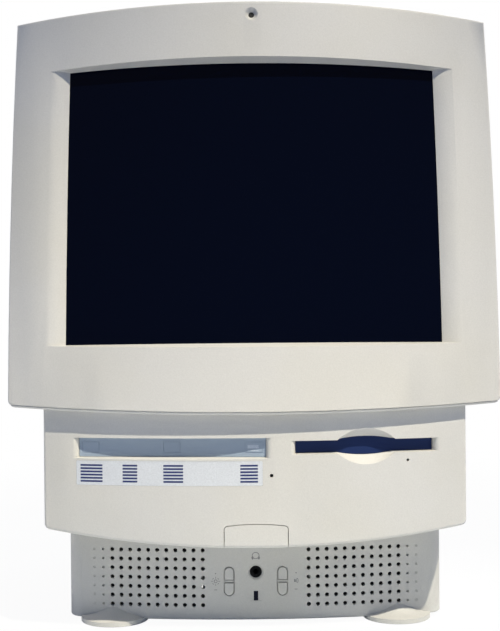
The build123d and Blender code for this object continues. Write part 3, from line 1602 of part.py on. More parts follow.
def port_row():
    """Centre and width of each rear port, from the wide one on the left to the two sound jacks."""
    left = TRAY_X - LOGIC_W / 2 + 8
    row = [(left + WIDE_PORT_W / 2, WIDE_PORT_W)]
    step = PORT_W + 4
    for count in range(4):
        row.append((left + WIDE_PORT_W + step * (count + 0.5) + 2, PORT_W))
    for count in range(2):
        jack_x = left + WIDE_PORT_W + 4 * step + 4 + JACK_PITCH * (count + 0.5)
        row.append((jack_x, JACK_PITCH - 4))
    return row


def make_logic_board():
    """Main circuit board on the tray's standoffs."""
    with BuildPart() as board:
        with BuildSketch(Plane.XY.offset(board_z() - BOARD_T)):
            with Locations((TRAY_X, board_mid_y())):
                Rectangle(LOGIC_W, LOGIC_L)
        extrude(amount=BOARD_T)
    return board.part


def make_board_chips():
    """Processor, custom chips, read-only memory and connectors soldered to the main board."""
    y = board_mid_y()
    with BuildPart() as chips:
        with BuildSketch(Plane.XY.offset(board_z())):
            with Locations((TRAY_X - 40, y + 20), (TRAY_X + 5, y + 25), (TRAY_X + 45, y - 5)):
                Rectangle(30, 30)
            with Locations((TRAY_X - 50, y - 25), (TRAY_X - 20, y - 25)):
                Rectangle(18, 24)
        extrude(amount=3)
        with BuildSketch(Plane.XY.offset(board_z())):
            with Locations((TRAY_X + 10, y - 74)):
                Rectangle(96, 7)
            with Locations((TRAY_X - 72, y - 30)):
                Rectangle(8, 90)
        extrude(amount=9)
    return chips.part


def make_memory_module():
    """Memory module standing in its socket across the front of the main board."""
    y = board_mid_y()
    with BuildPart() as module:
        with BuildSketch(Plane.XY.offset(board_z() + 9)):
            with Locations((TRAY_X + 10, y - 74)):
                Rectangle(90, 1.2)
        extrude(amount=16)
        with BuildSketch(Plane.XZ.offset(-(y - 74 + 0.6))):
            with Locations((TRAY_X + 10, board_z() + 18)):
                with GridLocations(11, 1, 8, 1):
                    Rectangle(8, 11)
        extrude(amount=-1)
    return module.part


def make_clock_battery():
    """Half-length lithium cell in its clip holder on the main board."""
    with BuildPart() as battery:
        with BuildSketch(Plane.XY.offset(board_z())):
            with Locations((TRAY_X + 62, board_mid_y() + 40)):
                Rectangle(18, 30)
        extrude(amount=4)
        with BuildSketch(Plane.XZ.offset(-board_mid_y() - 53)):
            with Locations((TRAY_X + 62, board_z() + 9)):
                Circle(7.2)
        extrude(amount=26)
    return battery.part


def make_ports():
    """Metal-shelled rear ports with their moulded faces: one wide port and four round ones."""
    rear = PAN_BACK + 0.3
    wide, *rest = port_row()
    round_ports = rest[:4]
    with BuildPart() as ports:
        with BuildSketch(Plane.XZ.offset(-rear)):
            for x, width in [wide] + round_ports:
                with Locations((x, port_z())):
                    Rectangle(width, PORT_H)
        extrude(amount=PORT_L)
        with BuildSketch(Plane.XZ.offset(-rear)):
            for x, _ in round_ports:
                with Locations((x, port_z())):
                    Circle(4.6)
                    Circle(4.1, mode=Mode.SUBTRACT)
            with Locations((wide[0], port_z())):
                RectangleRounded(WIDE_PORT_W - 10, 8, 2)
                RectangleRounded(WIDE_PORT_W - 11.4, 6.6, 1.3, mode=Mode.SUBTRACT)
        extrude(amount=1.5, mode=Mode.SUBTRACT)
    return ports.part


def make_audio_jacks():
    """Sound input and output jacks on the rear edge of the main board."""
    rear = PAN_BACK + 0.3
    with BuildPart() as jacks:
        with BuildSketch(Plane.XZ.offset(-rear)):
            for x, width in port_row()[5:]:
                with Locations((x, port_z())):
                    Rectangle(width, PORT_H)
                    Circle(JACK_BORE, mode=Mode.SUBTRACT)
        extrude(amount=PORT_L)
    return jacks.part


def case_plan(inset):
    """Plan outline of the drive section's casing, in the frame's own axes."""
    front = FASCIA_BACK + SEAM
    return tapered_plan(FASCIA_HALF, CASE_REAR_HALF, front + 30, CASE_BACK, 16, front, inset)


def case_floor():
    """Top of the drive casing's floor."""
    return PAN_TOP + SEAM + WALL


def make_base_casing():
    """Drive section's casing: floor with a cable hole, tapering walls and the power openings."""
    bottom = PAN_TOP + SEAM
    top_r = LOWER_EDGE_R + SEAM
    half = FASCIA_HALF + 10
    edge_z = BEZEL_Z + LOWER_EDGE_R - sqrt(top_r**2 - half**2)
    with BuildPart() as casing:
        with BuildSketch(Plane.XY.offset(bottom)):
            add(case_plan(0))
        extrude(amount=HEIGHT / 2)
        with BuildSketch(Plane.XZ.offset(-BACK)):
            with BuildLine():
                ThreePointArc((-half, edge_z), (0, BEZEL_Z - SEAM), (half, edge_z))
                Polyline((half, edge_z), (half, 0), (-half, 0), (-half, edge_z))
            make_face()
        extrude(amount=BIG, mode=Mode.INTERSECT)
        with BuildSketch(Plane.XY.offset(case_floor())):
            add(case_plan(WALL))
            with Locations((0, FASCIA_BACK)):
                Rectangle(2 * (FASCIA_HALF - WALL), 20)
        extrude(amount=HEIGHT / 2, mode=Mode.SUBTRACT)
        with BuildSketch(Plane.XY.offset(bottom)):
            with Locations((0, -45)):
                RectangleRounded(CABLE_HOLE_W, CABLE_HOLE_L, 6)
        extrude(amount=WALL, mode=Mode.SUBTRACT)
        with BuildSketch(Plane.XZ.offset(-CASE_BACK - 1)):
            with Locations((INLET_X, INLET_Z)):
                Rectangle(INLET_W + 2 * RUN_FIT, INLET_H + 2 * RUN_FIT)
            with Locations((ROCKER_X, INLET_Z)):
                Rectangle(ROCKER_W + 6, ROCKER_H + 6)
        extrude(amount=WALL + 2, mode=Mode.SUBTRACT)
    return casing.part


# ================================================================ drives and power
def drive_box(x, width, height, length):
    """Plain block of a drive, centred on its slot's height, behind the common drive face."""
    with BuildPart() as block:
        with BuildSketch(Plane.XZ.offset(-DRIVE_FACE)):
            with Locations((x, SLOT_Z)):
                Rectangle(width, height)
        extrude(amount=-length)
    return block.part


def spindle_place(x, length):
    """Spindle centre of a drive, halfway along its disc space."""
    return (x, DRIVE_FACE + length * 0.55)


def make_cd_drive():
    """Optical drive: sheet case with a caddy mouth, spindle plate and hollow lower bay."""
    floor = SLOT_Z - CADDY_H / 2
    wall = 1.5
    plate = 5.0
    bottom = SLOT_Z - CD_DRIVE_H / 2
    with BuildPart() as drive:
        add(drive_box(CD_X, CD_DRIVE_W, CD_DRIVE_H, CD_DRIVE_L))
        with BuildSketch(Plane.XZ.offset(-DRIVE_FACE)):
            with Locations((CD_X, SLOT_Z)):
                Rectangle(CADDY_W, CADDY_H)
        extrude(amount=-CADDY_L, mode=Mode.SUBTRACT)
        with BuildSketch(Plane.XY.offset(bottom + wall)):
            with Locations((CD_X, DRIVE_FACE + CD_DRIVE_L / 2)):
                Rectangle(CD_DRIVE_W - 2 * wall, CD_DRIVE_L - 2 * wall)
        extrude(amount=floor - plate - bottom - wall, mode=Mode.SUBTRACT)
        ceiling = SLOT_Z + CADDY_H / 2 + wall
        with BuildSketch(Plane.XY.offset(ceiling)):
            with Locations((CD_X, DRIVE_FACE + CD_DRIVE_L / 2)):
                Rectangle(CD_DRIVE_W - 2 * wall, CD_DRIVE_L - 2 * wall)
        extrude(amount=SLOT_Z + CD_DRIVE_H / 2 - wall - ceiling, mode=Mode.SUBTRACT)
        with BuildSketch(Plane.XY.offset(SLOT_Z)):
            with Locations((CD_X + CADDY_W / 4, DRIVE_FACE + CADDY_L / 2)):
                Rectangle(8, CADDY_L / 2)
        extrude(amount=CADDY_H, mode=Mode.SUBTRACT)
        with BuildSketch(Plane.XY.offset(floor)):
            with Locations(spindle_place(CD_X, CADDY_L)):
                Circle(TURNTABLE_R + 1)
        extrude(amount=-TURNTABLE_T - 1, mode=Mode.SUBTRACT)
        with BuildSketch(Plane.XY.offset(floor)):
            with Locations(spindle_place(CD_X, CADDY_L)):
                Circle(SPINDLE_R + RUN_FIT)
        extrude(amount=-plate, mode=Mode.SUBTRACT)
    return drive.part


def make_turntable():
    """Disc turntable with its centring boss and motor shaft."""
    floor = SLOT_Z - CADDY_H / 2
    place = spindle_place(CD_X, CADDY_L)
    with BuildPart() as table:
        with BuildSketch(Plane.XY.offset(floor - TURNTABLE_T - 0.5)):
            with Locations(place):
                Circle(TURNTABLE_R)
        extrude(amount=TURNTABLE_T - 0.5)
        with BuildSketch(Plane.XY.offset(floor - 1)):
            with Locations(place):
                Circle(7.4)
        extrude(amount=0.8)
        with BuildSketch(Plane.XY.offset(floor - TURNTABLE_T - 0.5)):
            with Locations(place):
                Circle(SPINDLE_R)
        extrude(amount=-(5 - TURNTABLE_T - 0.5) - 1)
    return table.part


def make_floppy_drive():
    """Floppy drive: case with its disk space and the bearing of its hub."""
    floor = SLOT_Z - DISK_H / 2
    with BuildPart() as drive:
        add(drive_box(FLOPPY_X, FLOPPY_DRIVE_W, FLOPPY_DRIVE_H, FLOPPY_DRIVE_L))
        with BuildSketch(Plane.XZ.offset(-DRIVE_FACE)):
            with Locations((FLOPPY_X, SLOT_Z)):
                Rectangle(DISK_W, DISK_H)
        extrude(amount=-DISK_L, mode=Mode.SUBTRACT)
        with BuildSketch(Plane.XY.offset(floor)):
            with Locations(spindle_place(FLOPPY_X, DISK_L)):
                Circle(HUB_R + 0.8)
        extrude(amount=-HUB_T - 0.8, mode=Mode.SUBTRACT)
        with BuildSketch(Plane.XY.offset(floor)):
            with Locations(spindle_place(FLOPPY_X, DISK_L)):
                Circle(SPINDLE_R + RUN_FIT)
        extrude(amount=-HUB_T - 6, mode=Mode.SUBTRACT)
    return drive.part


def make_floppy_hub():
    """Magnetic hub with its drive pin, which turns the disk."""
    floor = SLOT_Z - DISK_H / 2
    x, y = spindle_place(FLOPPY_X, DISK_L)
    with BuildPart() as hub:
        with BuildSketch(Plane.XY.offset(floor - HUB_T - 0.4)):
            with Locations((x, y)):
                Circle(HUB_R)
        extrude(amount=HUB_T)
        with BuildSketch(Plane.XY.offset(floor - 0.4)):
            with Locations((x + HUB_R * 0.55, y)):
                Circle(1.2)
            with Locations((x, y)):
                Circle(1.8)
        extrude(amount=0.3)
        with BuildSketch(Plane.XY.offset(floor - HUB_T - 0.4)):
            with Locations((x, y)):
                Circle(SPINDLE_R)
        extrude(amount=-5)
    return hub.part


def make_hard_drive():
    """Hard disk on the casing's floor: cast body, lid with a raised disc cover, and its board."""
    with BuildPart() as drive:
        with BuildSketch(Plane.XY.offset(case_floor())):
            with Locations((HDD_X, HDD_Y + HDD_L / 2)):
                RectangleRounded(HDD_W, HDD_L, 3)
        extrude(amount=HDD_H - 1.5)
        with BuildSketch(Plane.XY.offset(case_floor() + HDD_H - 1.5)):
            with Locations((HDD_X, HDD_Y + HDD_L * 0.6)):
                Circle(HDD_W / 2 - 4)
            with Locations((HDD_X, HDD_Y + HDD_L / 2)):
                RectangleRounded(HDD_W - 18, HDD_L - 8, 8)
        extrude(amount=1.5)
    return drive.part


def make_drive_cage():
    """Folded steel shelf that carries both drives above the casing's floor."""
    deck = SLOT_Z - CD_DRIVE_H / 2
    shelf = SLOT_Z - FLOPPY_DRIVE_H / 2
    left = CD_X - CD_DRIVE_W / 2 - SLIP - CAGE_T
    right = FLOPPY_X + FLOPPY_DRIVE_W / 2 + SLIP + CAGE_T
    width = right - left
    middle = (left + right) / 2
    front = DRIVE_FACE + 4
    length = 190.0
    shelf_w = FLOPPY_DRIVE_W + 2 * (SLIP + CAGE_T)
    leg_front = FASCIA_BACK + 8
    leg_back = front + length
    with BuildPart() as cage:
        with BuildSketch(Plane.XY.offset(deck - CAGE_T)):
            with Locations((middle, front + length / 2)):
                Rectangle(width, length)
        extrude(amount=CAGE_T)
        with BuildSketch(Plane.XY.offset(case_floor())):
            for x in (left + CAGE_T / 2, right - CAGE_T / 2):
                with Locations((x, (leg_front + leg_back) / 2)):
                    Rectangle(CAGE_T, leg_back - leg_front)
        extrude(amount=deck - case_floor() + 18)
        with BuildSketch(Plane.XY.offset(shelf - CAGE_T)):
            with Locations((FLOPPY_X, front + FLOPPY_DRIVE_L / 2 - 4)):
                Rectangle(shelf_w, FLOPPY_DRIVE_L - 8)
        extrude(amount=CAGE_T)
        with BuildSketch(Plane.XY.offset(deck - CAGE_T)):
            for x in (right - shelf_w + CAGE_T / 2, right - CAGE_T / 2):
                with Locations((x, front + FLOPPY_DRIVE_L / 2 - 4)):
                    Rectangle(CAGE_T, FLOPPY_DRIVE_L - 8)
        extrude(amount=shelf - deck + CAGE_T + 12)
    return cage.part


def psu_box(inset):
    """Block of the power supply, drawn in by an inset on every side."""
    back = CASE_BACK - WALL - SEAM
    with BuildPart() as block:
        with BuildSketch(Plane.XY.offset(case_floor() + inset)):
            with Locations((PSU_X, back - PSU_L / 2)):
                Rectangle(PSU_W - 2 * inset, PSU_L - 2 * inset)
        extrude(amount=PSU_H - 2 * inset)
    return block.part


def make_power_supply():
    """Sheet-metal box of the power supply with side vents and its rear openings."""
    with BuildPart() as supply:
        add(psu_box(0))
        add(psu_box(1.2), mode=Mode.SUBTRACT)
        with BuildSketch(Plane.XZ.offset(-CASE_BACK - 1)):
            with Locations((INLET_X, INLET_Z)):
                Rectangle(INLET_W + 2 * RUN_FIT, INLET_H + 2 * RUN_FIT)
            with Locations((ROCKER_X, INLET_Z)):
                Rectangle(ROCKER_W + 6, ROCKER_H + 6)
        extrude(amount=12, mode=Mode.SUBTRACT)
        with BuildSketch(Plane.YZ.offset(PSU_X - PSU_W / 2 - 1)):
            with Locations((CASE_BACK - PSU_L / 2 - 8, case_floor() + PSU_H / 2)):
                with GridLocations(VENT_PITCH, 1, 8, 1):
                    SlotOverall(PSU_H * 0.6, VENT_W, rotation=90)
        extrude(amount=3, mode=Mode.SUBTRACT)
    return supply.part


def make_supply_board():
    """Power supply's board on its posts, with transformer, chokes and smoothing capacitors."""
    floor = case_floor() + 1.2
    mid_y = CASE_BACK - PSU_L / 2 - 12
    with BuildPart() as board:
        with BuildSketch(Plane.XY.offset(floor)):
            with Locations((PSU_X, mid_y)):
                with GridLocations(PSU_W - 18, PSU_L - 36, 2, 2):
                    Circle(3)
        extrude(amount=4)
        with BuildSketch(Plane.XY.offset(floor + 4)):
            with Locations((PSU_X, mid_y)):
                Rectangle(PSU_W - 8, PSU_L - 26)
        extrude(amount=BOARD_T)
        with BuildSketch(Plane.XY.offset(floor + 4 + BOARD_T)):
            with Locations((PSU_X, mid_y)):
                Rectangle(34, 38)
        extrude(amount=32)
        with BuildSketch(Plane.XY.offset(floor + 4 + BOARD_T)):
            with Locations((PSU_X - 30, mid_y + 26), (PSU_X - 30, mid_y)):
                Circle(11)
            with Locations((PSU_X + 30, mid_y - 30), (PSU_X + 30, mid_y - 14), (PSU_X + 30, mid_y + 2)):
                Circle(6)
        extrude(amount=26)
    return board.part


def make_power_inlet():
    """Mains inlet: flanged moulding with its socket space and three blades."""
    with BuildPart() as inlet:
        with BuildSketch(Plane.XZ.offset(-CASE_BACK)):
            with Locations((INLET_X, INLET_Z)):
                Rectangle(INLET_W, INLET_H)
        extrude(amount=20)
        with BuildSketch(Plane.XZ.offset(-CASE_BACK)):
            with Locations((INLET_X, INLET_Z)):
                RectangleRounded(INLET_W + 4, INLET_H + 4, 2.5)
        extrude(amount=-FLANGE_T)
        with BuildSketch(Plane.XZ.offset(-CASE_BACK - FLANGE_T)):
            with Locations((INLET_X, INLET_Z)):
                RectangleRounded(INLET_W - 4, INLET_H - 4, 3)
        extrude(amount=18, mode=Mode.SUBTRACT)
        with BuildSketch(Plane.XZ.offset(-CASE_BACK - FLANGE_T + 18)):
            with Locations((INLET_X, INLET_Z + 2), (INLET_X - 7, INLET_Z - 2), (INLET_X + 7, INLET_Z - 2)):
                Rectangle(2, 4)
        extrude(amount=-12)
    return inlet.part


def rocker_pivot_y():
    """Distance of the rocker's pivot along Y."""
    return CASE_BACK + FLANGE_T - ROCKER_ARM


def make_switch_frame():
    """Snap-in frame of the power switch, hollow for the rocker and bored for its pins."""
    clear_h = 2 * sqrt((ROCKER_H / 2) ** 2 + ROCKER_ARM**2) + 2 * SLIP
    with BuildPart() as frame:
        with BuildSketch(Plane.XZ.offset(-CASE_BACK)):
            with Locations((ROCKER_X, INLET_Z)):
                Rectangle(ROCKER_W + 6 - 2 * RUN_FIT, ROCKER_H + 6 - 2 * RUN_FIT)
        extrude(amount=16)
        with BuildSketch(Plane.XZ.offset(-CASE_BACK)):
            with Locations((ROCKER_X, INLET_Z)):
                RectangleRounded(ROCKER_W + 9, ROCKER_H + 9, 1.5)
        extrude(amount=-FLANGE_T)
        with BuildSketch(Plane.XZ.offset(-CASE_BACK - FLANGE_T)):
            with Locations((ROCKER_X, INLET_Z)):
                Rectangle(ROCKER_W + 2 * SLIP, clear_h)
        extrude(amount=15, mode=Mode.SUBTRACT)
        with BuildSketch(Plane.YZ.offset(ROCKER_X - ROCKER_W / 2 - 1.5)):
            with Locations((rocker_pivot_y(), INLET_Z)):
                Circle(ROCKER_PIN_R + RUN_FIT)
        extrude(amount=ROCKER_W + 3, mode=Mode.SUBTRACT)
    return frame.part


def make_power_rocker():
    """Rocker of the power switch, tipped to its off side, with its pivot pins."""
    tilt = radians(ROCKER_TILT)
    pivot = (ROCKER_X - ROCKER_W / 2, rocker_pivot_y(), INLET_Z)
    section = Plane(origin=pivot, x_dir=(0, cos(tilt), sin(tilt)), z_dir=(1, 0, 0))
    half = ROCKER_H / 2
    with BuildPart() as rocker:
        with BuildSketch(section):
            with BuildLine():
                Polyline((1, -half), (ROCKER_ARM, -half))
                ThreePointArc((ROCKER_ARM, -half), (ROCKER_ARM - 1.2, 0), (ROCKER_ARM, half))
                Polyline((ROCKER_ARM, half), (1, half), (1, -half))
            make_face()
            Circle(3.2)
        extrude(amount=ROCKER_W)
        with BuildSketch(section.offset(-1.3)):
            Circle(ROCKER_PIN_R)
        extrude(amount=ROCKER_W + 2.6)
    return rocker.part


def make_case_screws():
    """Four screws in the counterbores of the housing's back."""
    seat = Plane(origin=(0, BACK - SCREW_HEAD_T, 0), x_dir=(-1, 0, 0), z_dir=(0, 1, 0))
    return screw(seat, housing_screw_points(), 12)


def main():
    """Build every piece of the computer and write it to parts/."""
    os.makedirs("parts", exist_ok=True)
    shell = display_shell()
    save(make_bezel(shell), "display_bezel")
    save(make_rear_housing(shell), "rear_housing")
    tube = make_tube()
    save(tube, "picture_tube")
    save(make_tube_band(), "tube_band")
    save(make_tube_screws(), "tube_screws")
    save(make_yoke(), "deflection_yoke")
    save(make_neck_socket(), "neck_socket")
    save(make_neck_board(), "neck_board")
    save(make_anode_cap(tube), "anode_cap")
    save(make_degauss_coil(), "degauss_coil")
    save(make_deck(), "chassis_deck")
    save(make_analog_board(), "analog_board")
    save(make_analog_parts(), "analog_parts")
    save(make_flyback(), "flyback_transformer")
    save(make_microphone(), "microphone")
    save(make_fan_frame(), "fan_frame")
    save(make_fan_rotor(), "fan_rotor")
    save(make_case_screws(), "case_screws")

    wall = fascia_wall()
    save(make_fascia(wall), "drive_fascia")
    save(make_label_plate(), "label_plate")
    save(make_name_tab(wall), "name_tab")
    save(make_cd_door(), "cd_door")
    save(make_floppy_flap(), "floppy_flap")
    save(make_cd_drive(), "cd_drive")
    save(make_turntable(), "cd_turntable")
    save(make_floppy_drive(), "floppy_drive")
    save(make_floppy_hub(), "floppy_hub")
    save(make_hard_drive(), "hard_drive")
    save(make_drive_cage(), "drive_cage")
    save(make_power_supply(), "power_supply")
    save(make_supply_board(), "supply_board")
    save(make_power_inlet(), "power_inlet")
    save(make_switch_frame(), "switch_frame")
    save(make_power_rocker(), "power_rocker")
    save(make_base_casing(), "base_casing")

    save(make_plinth(), "speaker_plinth")
    for side, place in ((-1, "left"), (1, "right")):
        save(make_speaker_frame(side), f"{place}_speaker_frame")
        save(make_speaker_cone(side), f"{place}_speaker_cone")
    save(make_speaker_mesh(), "speaker_mesh")
    for side, purpose in ((-1, "brightness"), (1, "volume")):
        save(make_button(side, True), f"{purpose}_up_button")
        save(make_button(side, False), f"{purpose}_down_button")
    save(make_button_board(), "button_board")
    save(make_headphone_jack(), "headphone_jack")
    save(make_power_lamp(), "power_lamp")

    save(make_base_pan(), "base_pan")
    save(make_rubber_feet(), "rubber_feet")
    save(make_tray(), "board_tray")
    save(make_logic_board(), "logic_board")
    save(make_board_chips(), "board_chips")
    save(make_memory_module(), "memory_module")
    save(make_clock_battery(), "clock_battery")
    save(make_ports(), "rear_ports")
    save(make_audio_jacks(), "audio_jacks")


main()
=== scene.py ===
"""Vintage home computer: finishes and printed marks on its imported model, with studio and camera.

Metres, +Z up, front towards -Y, origin at the bottom centre of the object.
"""

import logging
import math
from dataclasses import dataclass
from enum import Enum

import bpy
from mathutils import Matrix, Vector


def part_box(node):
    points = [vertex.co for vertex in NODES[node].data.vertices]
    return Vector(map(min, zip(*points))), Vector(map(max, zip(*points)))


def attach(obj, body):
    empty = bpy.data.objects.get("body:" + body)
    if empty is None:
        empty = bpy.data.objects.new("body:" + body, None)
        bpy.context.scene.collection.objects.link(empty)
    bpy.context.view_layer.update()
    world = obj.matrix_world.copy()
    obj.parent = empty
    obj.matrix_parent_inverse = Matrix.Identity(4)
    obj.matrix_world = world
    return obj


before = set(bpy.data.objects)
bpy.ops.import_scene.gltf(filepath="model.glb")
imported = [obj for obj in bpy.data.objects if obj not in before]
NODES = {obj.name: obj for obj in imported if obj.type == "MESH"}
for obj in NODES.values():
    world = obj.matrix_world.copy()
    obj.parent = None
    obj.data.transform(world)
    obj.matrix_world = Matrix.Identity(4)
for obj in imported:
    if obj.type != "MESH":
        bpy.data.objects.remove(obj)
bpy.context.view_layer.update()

log = logging.getLogger("computer")

MM = 0.001
SMOOTH_ANGLE = math.radians(32)
FACET_WELD = 1e-6
BLACK, WHITE = (0, 0, 0, 1), (1, 1, 1, 1)


# ---------------------------------------------------------------- colour and nodes
def linear(hex_colour: str) -> tuple[float, float, float, float]:
    """Turn an sRGB hex colour into linear red, green, blue and a full alpha.

    Args:
        hex_colour: Six hex digits with a leading hash.

    Returns:
        The colour as Blender's shader sockets take it.
    """
    channels = [int(hex_colour[i : i + 2], 16) / 255 for i in (1, 3, 5)]
    straight = [c / 12.92 if c <= 0.04045 else ((c + 0.055) / 1.055) ** 2.4 for c in channels]
    return (*straight, 1.0)


def grey(level: float) -> tuple[float, float, float, float]:
    """Linear grey of one level."""
    return (level, level, level, 1)


def scaled(hex_colour: str, factor: float, lift: float = 0.0) -> tuple[float, float, float, float]:
    """Linear colour of an sRGB hex colour, made darker or brighter by a factor and lifted by a level.

    Args:
        hex_colour: Six hex digits with a leading hash.
        factor: How many times as bright the result is.
        lift: Level added to each channel.

    Returns:
        The linear colour with a full alpha.
    """
    return tuple(min(1.0, factor * c + lift) for c in linear(hex_colour)[:3]) + (1,)


def add_node(tree: bpy.types.NodeTree, kind: str, settings: dict | None = None, links: dict | None = None):
    """Add one node with its settings and its incoming links.

    Args:
        tree: The node tree that the node joins.
        kind: Blender's name for the kind of node.
        settings: Values by input name or number, or by attribute name.
        links: Output sockets by input name or number.

    Returns:
        The new node.
    """
    node = tree.nodes.new(kind)
    for key, value in (settings or {}).items():
        if isinstance(key, int) or key in node.inputs:
            node.inputs[key].default_value = value
        else:
            setattr(node, key, value)
    for key, source in (links or {}).items():
        tree.links.new(source, node.inputs[key])
    return node


def ramp(tree: bpy.types.NodeTree, source: bpy.types.NodeSocket, stops: list) -> bpy.types.NodeSocket:
    """Run a value through a colour ramp.

    Args:
        tree: The node tree.
        source: The value from 0 to 1.
        stops: Pairs of a position and a linear colour.

    Returns:
        The ramp's colour output.
    """
    node = add_node(tree, "ShaderNodeValToRGB", links={"Fac": source})
    bands = node.color_ramp.elements
    while len(bands) < len(stops):
        bands.new(0.5)
    for band, (place, colour) in zip(bands, stops):
        band.position = place
        band.color = colour
    return node.outputs["Color"]


def noise(tree: bpy.types.NodeTree, size_mm: float, detail: float = 2.0, stretch: Vector | None = None):
    """Noise in the object's own coordinates.

    Args:
        tree: The node tree.
        size_mm: Size of the noise's patches in millimetres.
        detail: How many finer layers it holds.
        stretch: How many times longer the patches are along each axis.

    Returns:
        The noise's value output.
    """
    place = add_node(tree, "ShaderNodeTexCoord").outputs["Object"]
    if stretch:
        squeeze = Vector([1 / s for s in stretch])
        place = add_node(tree, "ShaderNodeMapping", {"Scale": squeeze}, {"Vector": place}).outputs[0]
    settings = {"Scale": 1 / (size_mm * MM), "Detail": detail, "Roughness": 0.5}
    return add_node(tree, "ShaderNodeTexNoise", settings, {"Vector": place}).outputs[0]


def axis_value(tree: bpy.types.NodeTree, axis: str) -> bpy.types.NodeSocket:
    """One of the object's own coordinates in metres."""
    place = add_node(tree, "ShaderNodeTexCoord").outputs["Object"]
    return add_node(tree, "ShaderNodeSeparateXYZ", links={"Vector": place}).outputs[axis]


def calculate(tree: bpy.types.NodeTree, operation: str, *values: float | bpy.types.NodeSocket):
    """Join values or sockets by one math operation and give its output."""
    node = add_node(tree, "ShaderNodeMath", {"operation": operation})
    for slot, value in enumerate(values):
        if isinstance(value, bpy.types.NodeSocket):
            tree.links.new(value, node.inputs[slot])
        else:
            node.inputs[slot].default_value = value
    return node.outputs[0]


def blend_colours(tree: bpy.types.NodeTree, factor: bpy.types.NodeSocket, first, second):
    """Mix two colours or colour sockets by a factor and give the result."""
    node = add_node(tree, "ShaderNodeMix", {"data_type": "RGBA"}, {0: factor})
    for slot, colour in ((6, first), (7, second)):
        if isinstance(colour, bpy.types.NodeSocket):
            tree.links.new(colour, node.inputs[slot])
        else:
            node.inputs[slot].default_value = colour
    return node.outputs[2]


def bump(tree: bpy.types.NodeTree, height: bpy.types.NodeSocket, depth_mm: float, strength: float = 1.0):
    """Bump normal from a height of 0 to 1 that stands for a real depth."""
    settings = {"Distance": depth_mm * MM, "Strength": strength}
    return add_node(tree, "ShaderNodeBump", settings, {"Height": height}).outputs["Normal"]


@dataclass(frozen=True)
class Finish:
    """A finish: the real material, its colour and how it takes light."""

    name: str
    colour: str
    roughness: float = 0.5
    ior: float = 1.5
    metallic: float = 0.0
    specular: float = 0.5

    def start(self) -> tuple[bpy.types.Material, bpy.types.NodeTree, bpy.types.Node]:
        """Make the material with its shader's constant values set on the shader itself.

        Returns:
            The material, its node tree and its shader node.
        """
        material = bpy.data.materials.new(self.name)
        material.use_nodes = True
        tree = material.node_tree
        shader = tree.nodes["Principled BSDF"]
        shader.inputs["Base Color"].default_value = linear(self.colour)
        shader.inputs["Roughness"].default_value = self.roughness
        shader.inputs["IOR"].default_value = self.ior
        shader.inputs["Metallic"].default_value = self.metallic
        shader.inputs["Specular IOR Level"].default_value = self.specular
        material.diffuse_color = linear(self.colour)
        return material, tree, shader

    def build(self) -> bpy.types.Material:
        """Make the material. Each kind of finish adds its own pattern."""
        raise NotImplementedError

    def dress(self, *names: str) -> None:
        """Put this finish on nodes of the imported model.

        Args:
            names: The nodes' names.
        """
        material = self.build()
        for name in names:
            node = NODES[name]
            node.data.materials.clear()
            node.data.materials.append(material)
            soften(node)
            log.info("dressed %s in %s", name, self.name)


def soften(node: bpy.types.Object) -> None:
    """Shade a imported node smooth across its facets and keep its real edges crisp."""
    for polygon in node.data.polygons:
        polygon.use_smooth = True
    weld = node.modifiers.new("joined facets", "WELD")
    weld.merge_threshold = FACET_WELD
    split = node.modifiers.new("crisp edges", "EDGE_SPLIT")
    split.split_angle = SMOOTH_ANGLE


# ---------------------------------------------------------------- finishes
@dataclass(frozen=True)
class TexturedAbs(Finish):
    """ABS moulded in a spark-eroded tool: an even fine grain, a little yellowed by age."""

    grain_mm: float = 0.9
    depth_mm: float = 0.05
    aged: str = "#D2CFC3"

    def build(self) -> bpy.types.Material:
        """Make the grained and faintly yellowed plastic."""
        material, tree, shader = self.start()
        patches = noise(tree, 90.0, 3.0)
        age = ramp(tree, patches, [(0.42, BLACK), (0.68, grey(0.35))])
        base = blend_colours(tree, age, linear(self.colour), linear(self.aged))
        # The real grain is about 0.2 mm across; it is drawn coarser so that it shows.
        grain = noise(tree, self.grain_mm, 3.0)
        speckle = ramp(tree, grain, [(0.3, grey(0.93)), (0.7, WHITE)])
        mixed = add_node(tree, "ShaderNodeMix", {"data_type": "RGBA", "blend_type": "MULTIPLY", 0: 1.0})
        tree.links.new(base, mixed.inputs[6])
        tree.links.new(speckle, mixed.inputs[7])
        tree.links.new(mixed.outputs[2], shader.inputs["Base Color"])
        tree.links.new(bump(tree, grain, self.depth_mm), shader.inputs["Normal"])
        return material


@dataclass(frozen=True)
class SatinPlastic(Finish):
    """Plastic moulded in a polished tool: smooth, with a soft sheen and faint flow marks along its length."""

    def build(self) -> bpy.types.Material:
        """Make the smooth plastic."""
        material, tree, shader = self.start()
        flow = noise(tree, 6.0, 2.0, Vector((6, 1, 1)))
        low = calculate(tree, "MULTIPLY_ADD", flow, 0.16, self.roughness - 0.08)
        tree.links.new(low, shader.inputs["Roughness"])
        tree.links.new(bump(tree, noise(tree, 1.4, 2.0), 0.01), shader.inputs["Normal"])
        return material


